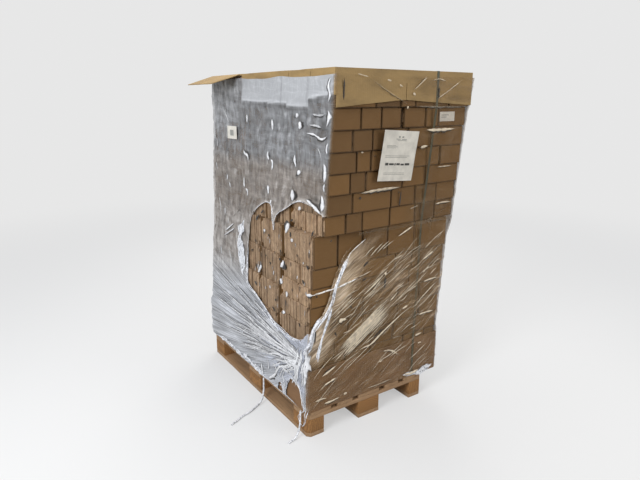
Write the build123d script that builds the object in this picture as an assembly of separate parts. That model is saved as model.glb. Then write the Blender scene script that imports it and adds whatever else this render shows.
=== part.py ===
from build123d import *
import os
from math import atan2, cos, degrees, dist, pi, radians, sin, tan

# A loaded pallet: flat-packed carton bundles stacked on a four-way wooden pallet,
# standing in a board tray, covered by a board lid, strapped once and wrapped in
# stretch film that is torn open at one corner. All sizes are millimetres.
# X runs along the pallet's width, Y along its length and Z up. The origin is on the
# floor under the pallet's centre. The near end is at -Y and the left side at -X.

# Pallet
PALLET_WIDTH = 800.0
PALLET_LENGTH = 1200.0
BOARD_THICKNESS = 22.0
BLOCK_HEIGHT = 78.0
WIDE_BOARD = 145.0
NARROW_BOARD = 100.0
CORNER_CUT = 18.0
DECK_WIDTHS = (WIDE_BOARD, NARROW_BOARD, WIDE_BOARD, NARROW_BOARD, WIDE_BOARD)
RUNNER_WIDTHS = (NARROW_BOARD, WIDE_BOARD, NARROW_BOARD)

# Strap round the load, over the lid and under the tray
STRAP_WIDTH = 15.0
STRAP_THICKNESS = 0.8
STRAP_FROM_RIGHT = 177.0
STRAP_CLEARANCE = 0.4

# Goods: bundles of one size, laid flat, on edge or endways
GOODS_WIDTH = 890.0
LEFT_OVERHANG = 1.0
BUNDLE_FLAT = 99.0
BUNDLE_EDGE = 165.0
BUNDLE_GAP = 2.0
FACE_UNEVENNESS = 5.0
NEAR_DEPTH = 300.0
FAR_DEPTH = 165.0
SIDE_DEPTH = 98.0
SIDE_BUNDLES = 3
ZONE_GAP = 12.0

# Tray under the goods and lid over them
BOARD = 4.0
TRAY_FLOOR = 5.0
TRAY_WALL = 235.0
TRAY_OVERHANG = 2.0
SLEEVE_CLEARANCE = 3.0
LID_WALL = 166.0

# The tray reaches a little past both ends of the pallet, and the goods fill it
GOODS_LENGTH = PALLET_LENGTH + 2 * (TRAY_OVERHANG - SLEEVE_CLEARANCE - BOARD)
NEAR_END = -GOODS_LENGTH / 2
LEFT_SIDE = -PALLET_WIDTH / 2 - LEFT_OVERHANG
FOOT_X = LEFT_SIDE + GOODS_WIDTH / 2
STRAP_X = FOOT_X + GOODS_WIDTH / 2 - STRAP_FROM_RIGHT

# How the stack has leaned: how far each half has drifted from its foot to its head,
# how far the upper half stands off the lower one, and how it is twisted
LOWER_DRIFT = (40.0, -15.0)
STEP_SHIFT = (9.0, -12.0)
UPPER_DRIFT = (6.0, -77.0)
UPPER_TWIST = 2.4
LOWER_FOOT = (FOOT_X, 0.0)
LOWER_HEAD = (FOOT_X + LOWER_DRIFT[0], LOWER_DRIFT[1])
UPPER_FOOT = (LOWER_HEAD[0] + STEP_SHIFT[0], LOWER_HEAD[1] + STEP_SHIFT[1])
UPPER_HEAD = (UPPER_FOOT[0] + UPPER_DRIFT[0], UPPER_FOOT[1] + UPPER_DRIFT[1])

# Film
FILM_THICKNESS = 1.2
FILM_CLEARANCE = 16.0
FILM_FOOT_LIFT = 3.0
FILM_HEAD_DROP = 22.0

# Papers
PAPER = 0.5
PAPER_CLEARANCE = 0.3
POUCH_WIDTH = 231.0
POUCH_HEIGHT = 246.0
POUCH_TURN = 4.0
POUCH_FROM_LEFT = 400.0
POUCH_Z = 1437.0
SIDE_LABEL_LENGTH = 113.0
SIDE_LABEL_HEIGHT = 72.0
SIDE_LABEL_FROM_NEAR = 923.0
SIDE_LABEL_Z = 1520.0
BUNDLE_LABEL_WIDTH = 112.0
BUNDLE_LABEL_HEIGHT = 48.0
BUNDLE_LABEL_INSET = 10.0

# Hanging strands of torn film
STRAND_DIAMETER = 10.0

# Levels
RUNNER_TOP = BOARD_THICKNESS
BLOCK_TOP = RUNNER_TOP + BLOCK_HEIGHT
STRINGER_TOP = BLOCK_TOP + BOARD_THICKNESS
DECK_TOP = STRINGER_TOP + BOARD_THICKNESS
TRAY_BASE = DECK_TOP + STRAP_THICKNESS
GOODS_BASE = TRAY_BASE + TRAY_FLOOR
TRAY_TOP = TRAY_BASE + TRAY_WALL

# End rows from the floor of the tray up: bundle height, then the widths seen at the
# near end from left to right. A negative width is an open slot. The widths are shares:
# each row is spread over the goods' whole width.
LOWER_ROWS = (
    (BUNDLE_EDGE, (160, 240, 98, 240, 152)),
    (BUNDLE_FLAT, (240, 165, 240, 160, 85)),
    (BUNDLE_FLAT, (160, 240, 160, 165, 165)),
    (BUNDLE_FLAT, (240, 98, 240, 160, 152)),
    (BUNDLE_FLAT, (165, 165, 240, 160, 160)),
    (BUNDLE_FLAT, (240, 195, -20, 185, 250)),
    (BUNDLE_FLAT, (160, 130, 240, 120, 240)),
    (BUNDLE_EDGE, (140, 155, 165, 190, 240)),
)
UPPER_ROWS = (
    (BUNDLE_FLAT, (126, 103, 184, 182, 150, 145)),
    (BUNDLE_FLAT, (158, 249, 171, 160, 152)),
    (BUNDLE_FLAT, (133, 98, 240, 169, 250)),
    (BUNDLE_FLAT, (162, 88, 250, 230, 160)),
    (BUNDLE_FLAT, (128, 119, 233, 165, 245)),
    (BUNDLE_FLAT, (166, 127, 128, -18, 150, 90, 211)),
    (BUNDLE_EDGE, (240, 160, 98, 240, 152)),
)
# Side courses from the floor of the tray up
LOWER_COURSES = (BUNDLE_FLAT,) + 5 * (BUNDLE_EDGE,)
UPPER_COURSES = 4 * (BUNDLE_EDGE,) + (BUNDLE_FLAT,)

STEP_Z = GOODS_BASE + sum(height for height, widths in LOWER_ROWS)
GOODS_TOP = STEP_Z + sum(height for height, widths in UPPER_ROWS)
LID_TOP = GOODS_TOP + BOARD
LID_FOOT = LID_TOP - LID_WALL
TOP_ROW_MIDDLE = GOODS_TOP - UPPER_ROWS[-1][0] / 2
LABEL_ROW_MIDDLE = GOODS_TOP - UPPER_ROWS[-1][0] - UPPER_ROWS[-2][0] / 2
FILM_FOOT = DECK_TOP + FILM_FOOT_LIFT
FILM_HEAD = LID_TOP - FILM_HEAD_DROP

# Lid's lower edges: how far each point lies above the lid's foot
LID_SEAM_FROM_LEFT = 428.0
LID_SEAM_WIDTH = 3.0
LID_SEAM_TOP = 60.0
LID_END_RISE = 30.0
LID_CORNER_TAB = 180.0
LID_TAB_RISE = 34.0
LID_TAB_SLOPE = 20.0
LID_SIDE_RISE = 22.0
LID_SLIT = 3.0
LIFTED_FLAP_LENGTH = 377.0
LIFTED_FLAP_SLANT = 45.0
LIFTED_FLAP_GAP = 20.0
LIFTED_FLAP_DROOP = 18.0

# Tear in the film: distance from the goods' near end and height on the left side, and
# distance from their left side and height on the near end
TEAR_SIDE = (
    (-85, 1176), (76, 1217), (149, 1222), (223, 1196), (296, 1154), (353, 1120), (370, 1040),
    (390, 1110), (422, 1159), (485, 1164), (569, 1122), (635, 1050), (667, 871), (675, 697),
    (657, 656), (554, 615), (452, 574), (350, 528), (247, 513), (145, 523), (83, 554),
    (43, 595), (-85, 640),
)
TEAR_END = (
    (-79, 595), (9, 612), (101, 700), (151, 850), (206, 965), (251, 1010), (281, 1060),
    (251, 1110), (151, 1150), (-79, 1175),
)
# Where the film's foot has ridden up beside the near left corner, on the left side
FOOT_OPENING = ((54, 140), (58, 232), (92, 291), (144, 286), (190, 236), (214, 140))
TEAR_SIDE_REACH = 76.0
TEAR_END_REACH = 25.0
TEAR_DEPTH = 120.0

# Film strands, from where they leave the film's lower edge to their loose ends
SIDE_STRAND = (
    (-418, -150, 146), (-420, -154, 100), (-427, -161, 52), (-450, -175, 14),
    (-496, -196, 6), (-550, -226, 7), (-598, -234, 6), (-644, -262, 6), (-684, -276, 6),
)
CORNER_STRAND = (
    (-418, -556, 146), (-421, -560, 104), (-428, -564, 58), (-446, -568, 18), (-478, -580, 6),
    (-508, -584, 6),
)


def place(z, upper=None):
    """Where the goods' centre stands at height z, with their twist."""
    if upper is None:
        upper = z > STEP_Z
    if upper:
        share = (z - STEP_Z) / (GOODS_TOP - STEP_Z)
        foot, head, twist = UPPER_FOOT, UPPER_HEAD, UPPER_TWIST
    else:
        share = max(0.0, (z - TRAY_TOP) / (STEP_Z - TRAY_TOP))
        foot, head, twist = LOWER_FOOT, LOWER_HEAD, 0.0
    x = foot[0] + share * (head[0] - foot[0])
    y = foot[1] + share * (head[1] - foot[1])
    return Location((x, y, 0), (0, 0, twist))


def block(x0, x1, y0, y1, z0, z1):
    """A box between two corners."""
    middle = Pos((x0 + x1) / 2, (y0 + y1) / 2, (z0 + z1) / 2)
    return middle * Box(x1 - x0, y1 - y0, z1 - z0)


def spread(widths, total):
    """Centres of parts of these widths, spread evenly over a total."""
    gap = (total - sum(widths)) / (len(widths) - 1)
    centres = []
    edge = -total / 2
    for width in widths:
        centres.append(edge + width / 2)
        edge += width + gap
    return centres


def corner_wedges():
    """The four cut corners of the pallet."""
    side = CORNER_CUT * 2 ** 0.5
    wedges = []
    for sx in (-1, 1):
        for sy in (-1, 1):
            at = Pos(sx * PALLET_WIDTH / 2, sy * PALLET_LENGTH / 2, DECK_TOP / 2)
            wedges.append(at * Rot(0, 0, 45) * Box(side, side, 2 * DECK_TOP))
    return wedges


def pallet_pieces():
    """Deck boards, stringer boards, blocks and runners."""
    wedges = corner_wedges()
    pieces = {}
    half_length = PALLET_LENGTH / 2
    half_width = PALLET_WIDTH / 2
    deck_centres = spread(DECK_WIDTHS, PALLET_WIDTH)
    for number, (x, width) in enumerate(zip(deck_centres, DECK_WIDTHS), 1):
        board = block(x - width / 2, x + width / 2, -half_length, half_length, STRINGER_TOP, DECK_TOP)
        pieces[f"deck_board_{number}"] = board
    cross_centres = spread(3 * (WIDE_BOARD,), PALLET_LENGTH)
    runner_centres = spread(RUNNER_WIDTHS, PALLET_WIDTH)
    for number, y in enumerate(cross_centres, 1):
        y0, y1 = y - WIDE_BOARD / 2, y + WIDE_BOARD / 2
        pieces[f"stringer_board_{number}"] = block(-half_width, half_width, y0, y1, BLOCK_TOP, STRINGER_TOP)
        for place_number, (x, width) in enumerate(zip(runner_centres, RUNNER_WIDTHS), 1):
            name = f"block_{number}_{place_number}"
            pieces[name] = block(x - width / 2, x + width / 2, y0, y1, RUNNER_TOP, BLOCK_TOP)
    for number, (x, width) in enumerate(zip(runner_centres, RUNNER_WIDTHS), 1):
        runner = block(x - width / 2, x + width / 2, -half_length, half_length, 0, RUNNER_TOP)
        pieces[f"runner_{number}"] = runner
    return {name: piece - wedges for name, piece in pieces.items()}


def recess(row, number):
    """How far one bundle's outer face stands back."""
    return FACE_UNEVENNESS * abs(sin(2.3 * row + 1.7 * number))


def row_share(widths):
    """What a row's widths are multiplied by to fill the goods' width."""
    return GOODS_WIDTH / sum(abs(width) for width in widths)


def end_row(row, height, widths, z0):
    """The bundles seen at both ends in one row, as separate solids."""
    goods_half = GOODS_WIDTH / 2
    length_half = GOODS_LENGTH / 2
    share = row_share(widths)
    solids = []
    left = -goods_half
    for number, width in enumerate(widths):
        right = left + share * abs(width)
        if width < 0:
            left = right
            continue
        back = recess(row, number)
        x0, x1 = left + BUNDLE_GAP / 2, right - BUNDLE_GAP / 2
        solids.append(block(x0, x1, back - length_half, NEAR_DEPTH - length_half, z0, z0 + height))
        solids.append(block(-x1, -x0, length_half - FAR_DEPTH, length_half - back, z0, z0 + height))
        left = right
    return Compound(children=[place(z0 + height / 2) * solid for solid in solids])


def side_course(course, height, z0):
    """The bundles seen on both long sides in one course, as separate solids."""
    y0 = NEAR_DEPTH - GOODS_LENGTH / 2 + ZONE_GAP
    pitch = (GOODS_LENGTH - NEAR_DEPTH - FAR_DEPTH - 2 * ZONE_GAP) / SIDE_BUNDLES
    outer, inner = GOODS_WIDTH / 2, GOODS_WIDTH / 2 - SIDE_DEPTH
    solids = []
    for number in range(SIDE_BUNDLES):
        near = y0 + number * pitch + BUNDLE_GAP / 2
        far = y0 + (number + 1) * pitch - BUNDLE_GAP / 2
        back = recess(course, number + 0.5)
        solids.append(block(back - outer, -inner, near, far, z0, z0 + height))
        solids.append(block(inner, outer - back, near, far, z0, z0 + height))
    return Compound(children=[place(z0 + height / 2) * solid for solid in solids])


def section(z, upper, margin):
    """The goods' rectangle at height z, grown by a margin on every side."""
    outline = Rectangle(GOODS_WIDTH + 2 * margin, GOODS_LENGTH + 2 * margin)
    return Pos(0, 0, z) * place(z, upper) * outline


def hidden_core(levels, upper):
    """The unseen middle of one half of the stack."""
    width = GOODS_WIDTH - 2 * (SIDE_DEPTH + ZONE_GAP)
    length = GOODS_LENGTH - NEAR_DEPTH - FAR_DEPTH - 2 * ZONE_GAP
    shift = (NEAR_DEPTH - FAR_DEPTH) / 2
    faces = [Pos(0, 0, z) * place(z, upper) * Pos(0, shift) * Rectangle(width, length) for z in levels]
    return loft(faces, ruled=True)


def goods_pieces():
    """Every bundle, by row and course, with the two plain cores."""
    pieces = {}
    row, z = 1, GOODS_BASE
    for height, widths in LOWER_ROWS + UPPER_ROWS:
        pieces[f"end_bundles_row_{row:02d}"] = end_row(row, height, widths, z)
        row += 1
        z += height
    course, z = 1, GOODS_BASE
    for height in LOWER_COURSES + UPPER_COURSES:
        pieces[f"side_bundles_course_{course:02d}"] = side_course(course, height, z)
        course += 1
        z += height
    pieces["lower_core"] = hidden_core((GOODS_BASE, TRAY_TOP, STEP_Z), False)
    pieces["upper_core"] = hidden_core((STEP_Z, GOODS_TOP), True)
    return pieces


def tray():
    """The open board tray that the goods stand in."""
    half_x = GOODS_WIDTH / 2 + SLEEVE_CLEARANCE
    half_y = GOODS_LENGTH / 2 + SLEEVE_CLEARANCE
    outside = block(-half_x - BOARD, half_x + BOARD, -half_y - BOARD, half_y + BOARD, TRAY_BASE, TRAY_TOP)
    inside = block(-half_x, half_x, -half_y, half_y, GOODS_BASE, 2 * TRAY_TOP)
    return place(TRAY_BASE) * (outside - inside)


def lid_end_cut(half_x, half_y):
    """What is missing under the near end wall's lower edges, and its seam."""
    foot = LID_FOOT - BOARD
    seam_foot = LID_FOOT + LID_END_RISE
    seam_x = LID_SEAM_FROM_LEFT - half_x
    outline = Polygon(
        (-half_x, foot), (half_x, foot), (half_x, LID_FOOT + BOARD / 2), (seam_x, seam_foot),
        (-half_x, LID_FOOT), align=None)
    seam_height = LID_TOP - LID_SEAM_TOP - foot
    seam = Pos(seam_x, foot + seam_height / 2) * Rectangle(LID_SEAM_WIDTH, seam_height)
    cut = extrude(Plane.XZ * (outline + seam), amount=2 * BOARD, both=True)
    return Pos(0, -half_y) * cut


def lid_side_cut(half_x, half_y):
    """What is missing under the left wall's lower edges, with its two slits."""
    foot = LID_FOOT - BOARD
    tab = -half_y + LID_CORNER_TAB
    panel = tab + LID_CORNER_TAB
    flap_near = half_y - LIFTED_FLAP_LENGTH
    outline = Polygon(
        (-half_y, foot), (half_y, foot), (half_y, LID_TOP - 2 * BOARD), (flap_near, LID_TOP - 2 * BOARD),
        (flap_near, LID_FOOT + LID_SIDE_RISE), (panel, LID_FOOT + LID_SIDE_RISE / 2),
        (panel, LID_FOOT), (tab, LID_FOOT), (tab, LID_FOOT + LID_TAB_RISE),
        (-half_y, LID_FOOT + LID_TAB_RISE + LID_TAB_SLOPE), align=None)
    slit_height = LID_TOP - 3 * BOARD - foot
    slits = [Pos(y, foot + slit_height / 2) * Rectangle(LID_SLIT, slit_height) for y in (tab, panel)]
    cut = extrude(Plane.YZ * (outline + slits), amount=2 * BOARD, both=True)
    return Pos(-half_x, 0) * cut


def lifted_flap(half_x, half_y):
    """The part of the left wall that is bent up and out."""
    near = half_y - LIFTED_FLAP_LENGTH + LIFTED_FLAP_GAP
    reach = LID_WALL - BOARD
    outline = Polygon(
        (BOARD, near), (BOARD, half_y), (-reach, half_y), (-reach, near + LIFTED_FLAP_SLANT), align=None)
    flap = extrude(outline, amount=BOARD)
    return Pos(-half_x, 0, LID_TOP - BOARD) * Rot(0, -LIFTED_FLAP_DROOP, 0) * flap


def lid():
    """The board lid, with the torn and lifted edges that it has."""
    inner_x = GOODS_WIDTH / 2 + SLEEVE_CLEARANCE
    inner_y = GOODS_LENGTH / 2 + SLEEVE_CLEARANCE
    half_x, half_y = inner_x + BOARD, inner_y + BOARD
    outside = block(-half_x, half_x, -half_y, half_y, LID_FOOT, LID_TOP)
    inside = block(-inner_x, inner_x, -inner_y, inner_y, 0, GOODS_TOP)
    shell = outside - inside - lid_end_cut(half_x, half_y) - lid_side_cut(half_x, half_y)
    return place(TOP_ROW_MIDDLE) * (shell + lifted_flap(half_x, half_y))


def face_y(z, upper, half_length, side):
    """Y of the near (-1) or far (1) face at the strap, for goods of this half length."""
    here = place(z, upper)
    twist = radians(here.orientation.Z)
    return here.position.Y + (STRAP_X - here.position.X) * tan(twist) + side * half_length / cos(twist)


def strap():
    """A flat band round the goods, in a plane across the pallet."""
    goods_half = GOODS_LENGTH / 2 + STRAP_CLEARANCE
    sleeve_half = goods_half + SLEEVE_CLEARANCE + BOARD
    step_half = goods_half + FILM_CLEARANCE / 2
    twist_room = STRAP_WIDTH / 2 * tan(radians(UPPER_TWIST))
    chains = []
    for side in (-1, 1):
        foot = face_y(TRAY_BASE, False, sleeve_half, side)
        step = side * max(side * face_y(STEP_Z, False, step_half, side), side * face_y(STEP_Z, True, step_half, side))
        head = face_y(TOP_ROW_MIDDLE, True, sleeve_half + twist_room, side)
        bundles = face_y(LABEL_ROW_MIDDLE, True, goods_half + twist_room, side)
        under_lid = side * max(side * head, side * bundles)
        chains.append([(foot, TRAY_BASE), (foot, TRAY_TOP), (step, STEP_Z), (under_lid, LID_FOOT), (head, LID_TOP)])
    inner = chains[0] + chains[1][::-1]
    hole = make_face(Polyline([(y, z) for y, z in inner], close=True))
    band = offset(hole, amount=STRAP_THICKNESS, kind=Kind.INTERSECTION) - hole
    return Pos(STRAP_X) * extrude(Plane.YZ * band, amount=STRAP_WIDTH / 2, both=True)


def film_tube(levels, upper):
    """Film round the goods between these levels, each a height and its place's height."""
    def walls(margin):
        faces = []
        for z, place_z in levels:
            outline = Rectangle(GOODS_WIDTH + 2 * margin, GOODS_LENGTH + 2 * margin)
            faces.append(Pos(0, 0, z) * place(place_z, upper) * outline)
        return loft(faces, ruled=True)
    return walls(FILM_CLEARANCE + FILM_THICKNESS) - walls(FILM_CLEARANCE)


def film():
    """Stretch film round the whole load, closed over the step and torn at one corner."""
    lower = film_tube([(FILM_FOOT, TRAY_BASE), (TRAY_TOP, TRAY_TOP), (STEP_Z, STEP_Z)], False)
    upper = film_tube([(STEP_Z, STEP_Z), (LID_FOOT - BOARD, TOP_ROW_MIDDLE), (FILM_HEAD, TOP_ROW_MIDDLE)], True)
    outer = FILM_CLEARANCE + FILM_THICKNESS
    ledge = extrude(section(STEP_Z, False, outer) - section(STEP_Z, True, FILM_CLEARANCE), amount=FILM_THICKNESS)
    underside = section(STEP_Z, True, outer) - section(STEP_Z, False, FILM_CLEARANCE)
    overhang = extrude(underside, amount=-FILM_THICKNESS)
    whole = lower + upper + ledge + overhang
    reach = Pos(LEFT_SIDE + TEAR_SIDE_REACH - TEAR_DEPTH, NEAR_END)
    for outline in (TEAR_SIDE, FOOT_OPENING):
        side = Plane.YZ * Polygon(*outline, align=None)
        whole -= reach * extrude(side, amount=TEAR_DEPTH, both=True)
    end = Plane.XZ * Polygon(*TEAR_END, align=None)
    reach = Pos(LEFT_SIDE, NEAR_END + TEAR_END_REACH - TEAR_DEPTH)
    return whole - reach * extrude(end, amount=TEAR_DEPTH, both=True)


def near_lean():
    """Lean of the film's near face, in degrees outward."""
    drift = Vector(*UPPER_HEAD, 0) - Vector(*UPPER_FOOT, 0)
    out = -drift.rotate(Axis.Z, -UPPER_TWIST).Y
    share = (TOP_ROW_MIDDLE - STEP_Z) / (GOODS_TOP - STEP_Z)
    return degrees(atan2(out * share, LID_FOOT - BOARD - STEP_Z))


def film_place(z):
    """Where the film's centre stands at height z in its leaning stretch."""
    share = (z - STEP_Z) / (LID_FOOT - BOARD - STEP_Z)
    return place(STEP_Z + share * (TOP_ROW_MIDDLE - STEP_Z), True)


def papers():
    """The document pouch and label on the film, and one label on a bundle."""
    film_half = FILM_CLEARANCE + FILM_THICKNESS + PAPER_CLEARANCE + PAPER / 2
    pouch = Box(POUCH_WIDTH, PAPER, POUCH_HEIGHT)
    pouch_x = POUCH_FROM_LEFT - GOODS_WIDTH / 2
    at_end = Pos(pouch_x, NEAR_END - film_half, POUCH_Z) * Rot(near_lean(), 0, 0) * Rot(0, POUCH_TURN, 0)
    side_label = Box(PAPER, SIDE_LABEL_LENGTH, SIDE_LABEL_HEIGHT)
    at_side = Pos(-GOODS_WIDTH / 2 - film_half, NEAR_END + SIDE_LABEL_FROM_NEAR, SIDE_LABEL_Z)
    row = len(LOWER_ROWS) + len(UPPER_ROWS) - 1
    widths = UPPER_ROWS[-2][1]
    back = recess(row, len(widths) - 1)
    bundle_left = GOODS_WIDTH / 2 - row_share(widths) * widths[-1]
    label_x = bundle_left + BUNDLE_LABEL_INSET + BUNDLE_LABEL_WIDTH / 2
    bundle_label = Box(BUNDLE_LABEL_WIDTH, PAPER, BUNDLE_LABEL_HEIGHT)
    label_y = back + NEAR_END - PAPER_CLEARANCE - PAPER / 2
    on_bundle = Pos(label_x, label_y, LABEL_ROW_MIDDLE)
    return {
        "document_pouch": film_place(POUCH_Z) * at_end * pouch,
        "side_label": film_place(SIDE_LABEL_Z) * at_side * side_label,
        "bundle_label": place(LABEL_ROW_MIDDLE) * on_bundle * bundle_label,
    }


def strand(name, points):
    """A rope-like strand of film: straight runs joined by tangent arcs."""
    radii = []
    for before, here, after in zip(points, points[1:], points[2:]):
        turn = (Vector(*here) - Vector(*before)).get_angle(Vector(*after) - Vector(*here))
        shorter = min(dist(before, here), dist(here, after))
        radii.append(0.45 * shorter / tan(radians(turn) / 2))
    path = FilletPolyline(*points, radius=radii)
    start = Plane(origin=path @ 0, z_dir=path % 0)
    tube = sweep(start * Circle(STRAND_DIAMETER / 2), path=path)
    full = pi * (STRAND_DIAMETER / 2) ** 2 * path.length
    print(name, "length", round(path.length), "radii", [round(r) for r in radii],
          "volume ratio", round(tube.volume / full, 4))
    return tube


def main():
    os.makedirs("parts", exist_ok=True)
    pieces = pallet_pieces()
    pieces["tray"] = tray()
    pieces.update(goods_pieces())
    pieces["lid"] = lid()
    pieces["strap"] = strap()
    pieces["stretch_film"] = film()
    pieces.update(papers())
    pieces["side_strand"] = strand("side_strand", SIDE_STRAND)
    pieces["corner_strand"] = strand("corner_strand", CORNER_STRAND)
    for name, piece in pieces.items():
        export_step(piece, f"parts/{name}.step")
    print(len(pieces), "pieces, step at", STEP_Z, "goods top", GOODS_TOP, "lid top", LID_TOP)


main()
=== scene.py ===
import math

import bmesh
import bpy
import numpy as np
from bpy.props import FloatProperty, FloatVectorProperty, PointerProperty
from mathutils import Matrix, Vector

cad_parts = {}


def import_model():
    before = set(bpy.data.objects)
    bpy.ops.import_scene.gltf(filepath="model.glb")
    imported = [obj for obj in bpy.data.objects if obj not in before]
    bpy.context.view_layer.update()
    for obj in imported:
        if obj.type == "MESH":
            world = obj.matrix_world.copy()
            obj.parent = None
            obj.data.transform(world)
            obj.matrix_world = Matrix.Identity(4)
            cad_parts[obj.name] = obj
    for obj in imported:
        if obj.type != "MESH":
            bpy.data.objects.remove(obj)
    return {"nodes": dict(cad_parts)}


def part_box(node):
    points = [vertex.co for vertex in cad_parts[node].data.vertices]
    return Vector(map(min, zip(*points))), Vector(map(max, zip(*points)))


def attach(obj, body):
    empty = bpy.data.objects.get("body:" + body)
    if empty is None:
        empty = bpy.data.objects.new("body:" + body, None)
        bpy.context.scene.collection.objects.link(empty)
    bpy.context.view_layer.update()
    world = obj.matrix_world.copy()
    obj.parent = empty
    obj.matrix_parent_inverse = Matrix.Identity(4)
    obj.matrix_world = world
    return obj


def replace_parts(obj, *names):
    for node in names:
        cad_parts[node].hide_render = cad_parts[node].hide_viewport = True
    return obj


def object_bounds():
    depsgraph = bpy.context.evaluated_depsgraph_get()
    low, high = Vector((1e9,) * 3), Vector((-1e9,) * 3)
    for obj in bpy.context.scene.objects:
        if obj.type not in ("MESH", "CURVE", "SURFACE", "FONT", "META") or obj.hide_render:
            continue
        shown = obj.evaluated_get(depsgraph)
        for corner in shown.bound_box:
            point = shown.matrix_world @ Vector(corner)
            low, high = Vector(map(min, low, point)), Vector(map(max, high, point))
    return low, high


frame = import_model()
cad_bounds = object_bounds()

bl_info = {
    "name": "Wrapped Pallet Load",
    "version": (1, 0, 0),
    "blender": (4, 5, 0),
    "location": "View3D > Sidebar > Pallet Load",
    "description": "Dresses a wrapped pallet load: pallet, carton bundles, tray, lid, strap, film and papers",
    "category": "Mesh",
}

# Unrolled film: run is measured round the load from its near left corner, positive along
# the near end and negative along the left side. Heights are from the floor, all in metres.

# The tear: distance from the goods' near end and height on the left side, and distance
# from their left side and height on the near end
TEAR_SIDE = (
    (-0.085, 1.176), (0.076, 1.217), (0.149, 1.222), (0.223, 1.196), (0.296, 1.154), (0.353, 1.120),
    (0.370, 1.040), (0.390, 1.110), (0.422, 1.159), (0.485, 1.164), (0.569, 1.122), (0.635, 1.050),
    (0.667, 0.871), (0.675, 0.697), (0.657, 0.656), (0.554, 0.615), (0.452, 0.574), (0.350, 0.528),
    (0.247, 0.516), (0.145, 0.512), (0.083, 0.522), (0.043, 0.540), (-0.085, 0.566),
)
TEAR_END = (
    (-0.079, 0.562), (0.012, 0.580), (0.098, 0.700), (0.151, 0.850), (0.206, 0.965), (0.251, 1.010),
    (0.281, 1.060), (0.251, 1.110), (0.151, 1.150), (-0.079, 1.175),
)
# Where the film's foot has ridden up on the left side, beside the near corner and behind it
FOOT_OPENING = (
    (0.018, 0.140), (0.026, 0.215), (0.052, 0.268), (0.092, 0.290), (0.146, 0.284),
    (0.172, 0.240), (0.184, 0.140),
)
FOOT_GAP = ((0.222, 0.140), (0.226, 0.182), (0.246, 0.208), (0.268, 0.200), (0.280, 0.140))

# Pleats in the film: the places they run through as run and height, their width, how white
# their painted highlight is and how dark the painted shadow beside them is. The shadow lies right of the way
# the pleat runs, or left of it where the value is negative.
END_PLEATS = (
    (((0.575, 1.556), (0.69, 1.553), (0.81, 1.556)), 0.016, 1.0, 0.7),
    (((0.555, 1.468), (0.61, 1.476)), 0.014, 0.8, 0.3),
    (((0.70, 1.360), (0.82, 1.360)), 0.008, 0.6, 0.4),
    (((0.535, 1.150), (0.60, 1.165)), 0.007, 0.5, 0.4),
    (((0.72, 1.155), (0.79, 1.160), (0.86, 1.156)), 0.010, 0.8, 0.6),
    (((0.18, 1.270), (0.30, 1.276), (0.455, 1.277)), 0.014, 0.75, 0.8),
    (((0.165, 1.466), (0.185, 1.466)), 0.014, 0.6, 0.0),
    (((0.425, 1.668), (0.440, 1.664)), 0.016, 0.9, 0.0),
    (((0.49, 1.008), (0.53, 1.030), (0.58, 1.055)), 0.012, 0.9, 0.6),
    (((0.50, 0.883), (0.565, 0.902)), 0.008, 0.7, 0.6),
    (((0.712, 0.845), (0.75, 0.864), (0.795, 0.888)), 0.010, 1.0, 0.9),
    (((0.735, 0.715), (0.79, 0.722), (0.855, 0.724)), 0.010, 0.9, 0.7),
    (((0.725, 0.520), (0.78, 0.524), (0.855, 0.522)), 0.012, 0.9, 0.5),
    (((0.715, 0.398), (0.77, 0.404)), 0.012, 0.8, 0.3),
    (((0.740, 0.346), (0.770, 0.346)), 0.014, 0.7, 0.0),
    (((0.53, 0.695), (0.56, 0.716), (0.60, 0.726)), 0.008, 0.7, 0.4),
    (((0.690, 0.588), (0.74, 0.622), (0.79, 0.658), (0.85, 0.700)), 0.009, 0.8, 0.5),
    (((0.600, 0.585), (0.640, 0.598)), 0.016, 0.9, 0.0),
    (((0.475, 0.366), (0.520, 0.362), (0.565, 0.340), (0.595, 0.312)), 0.010, 0.75, 0.3),
    (((0.455, 0.309), (0.480, 0.311)), 0.012, 0.7, 0.0),
    (((0.20, 0.318), (0.24, 0.356), (0.31, 0.388)), 0.006, 0.35, 0.0),
    (((0.545, 0.424), (0.600, 0.426)), 0.010, 0.3, 0.0),
    (((0.640, 0.176), (0.70, 0.166), (0.76, 0.176)), 0.020, 0.8, 0.0),
    (((0.37, 0.176), (0.45, 0.172), (0.56, 0.178)), 0.008, 0.45, 0.5),
    (((0.215, 0.190), (0.240, 0.192)), 0.014, 0.7, 0.0),
    (((0.090, 0.176), (0.14, 0.176), (0.190, 0.182)), 0.012, 0.9, 0.6),
    (((0.035, 0.205), (0.075, 0.208), (0.110, 0.204)), 0.010, 0.8, 0.3),
    (((0.19, 1.790), (0.30, 1.738), (0.39, 1.700), (0.43, 1.680)), 0.006, 0.15, 0.7),
    (((0.455, 1.735), (0.475, 1.722)), 0.014, 0.8, 0.0),
    (((0.470, 1.672), (0.65, 1.668), (0.872, 1.666)), 0.007, 0.20, 0.95),
    (((0.545, 1.810), (0.50, 1.775), (0.46, 1.745)), 0.006, 0.6, 0.4),
    (((0.62, 1.700), (0.70, 1.742), (0.80, 1.800)), 0.006, 0.6, 0.3),
    (((0.10, 1.812), (0.17, 1.800)), 0.007, 0.6, 0.0),
    (((0.28, 1.790), (0.31, 1.785)), 0.010, 0.6, 0.0),
    (((0.36, 1.770), (0.385, 1.760)), 0.010, 0.6, 0.0),
    (((0.58, 1.792), (0.63, 1.800), (0.68, 1.790)), 0.006, 0.6, 0.3),
)
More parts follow.
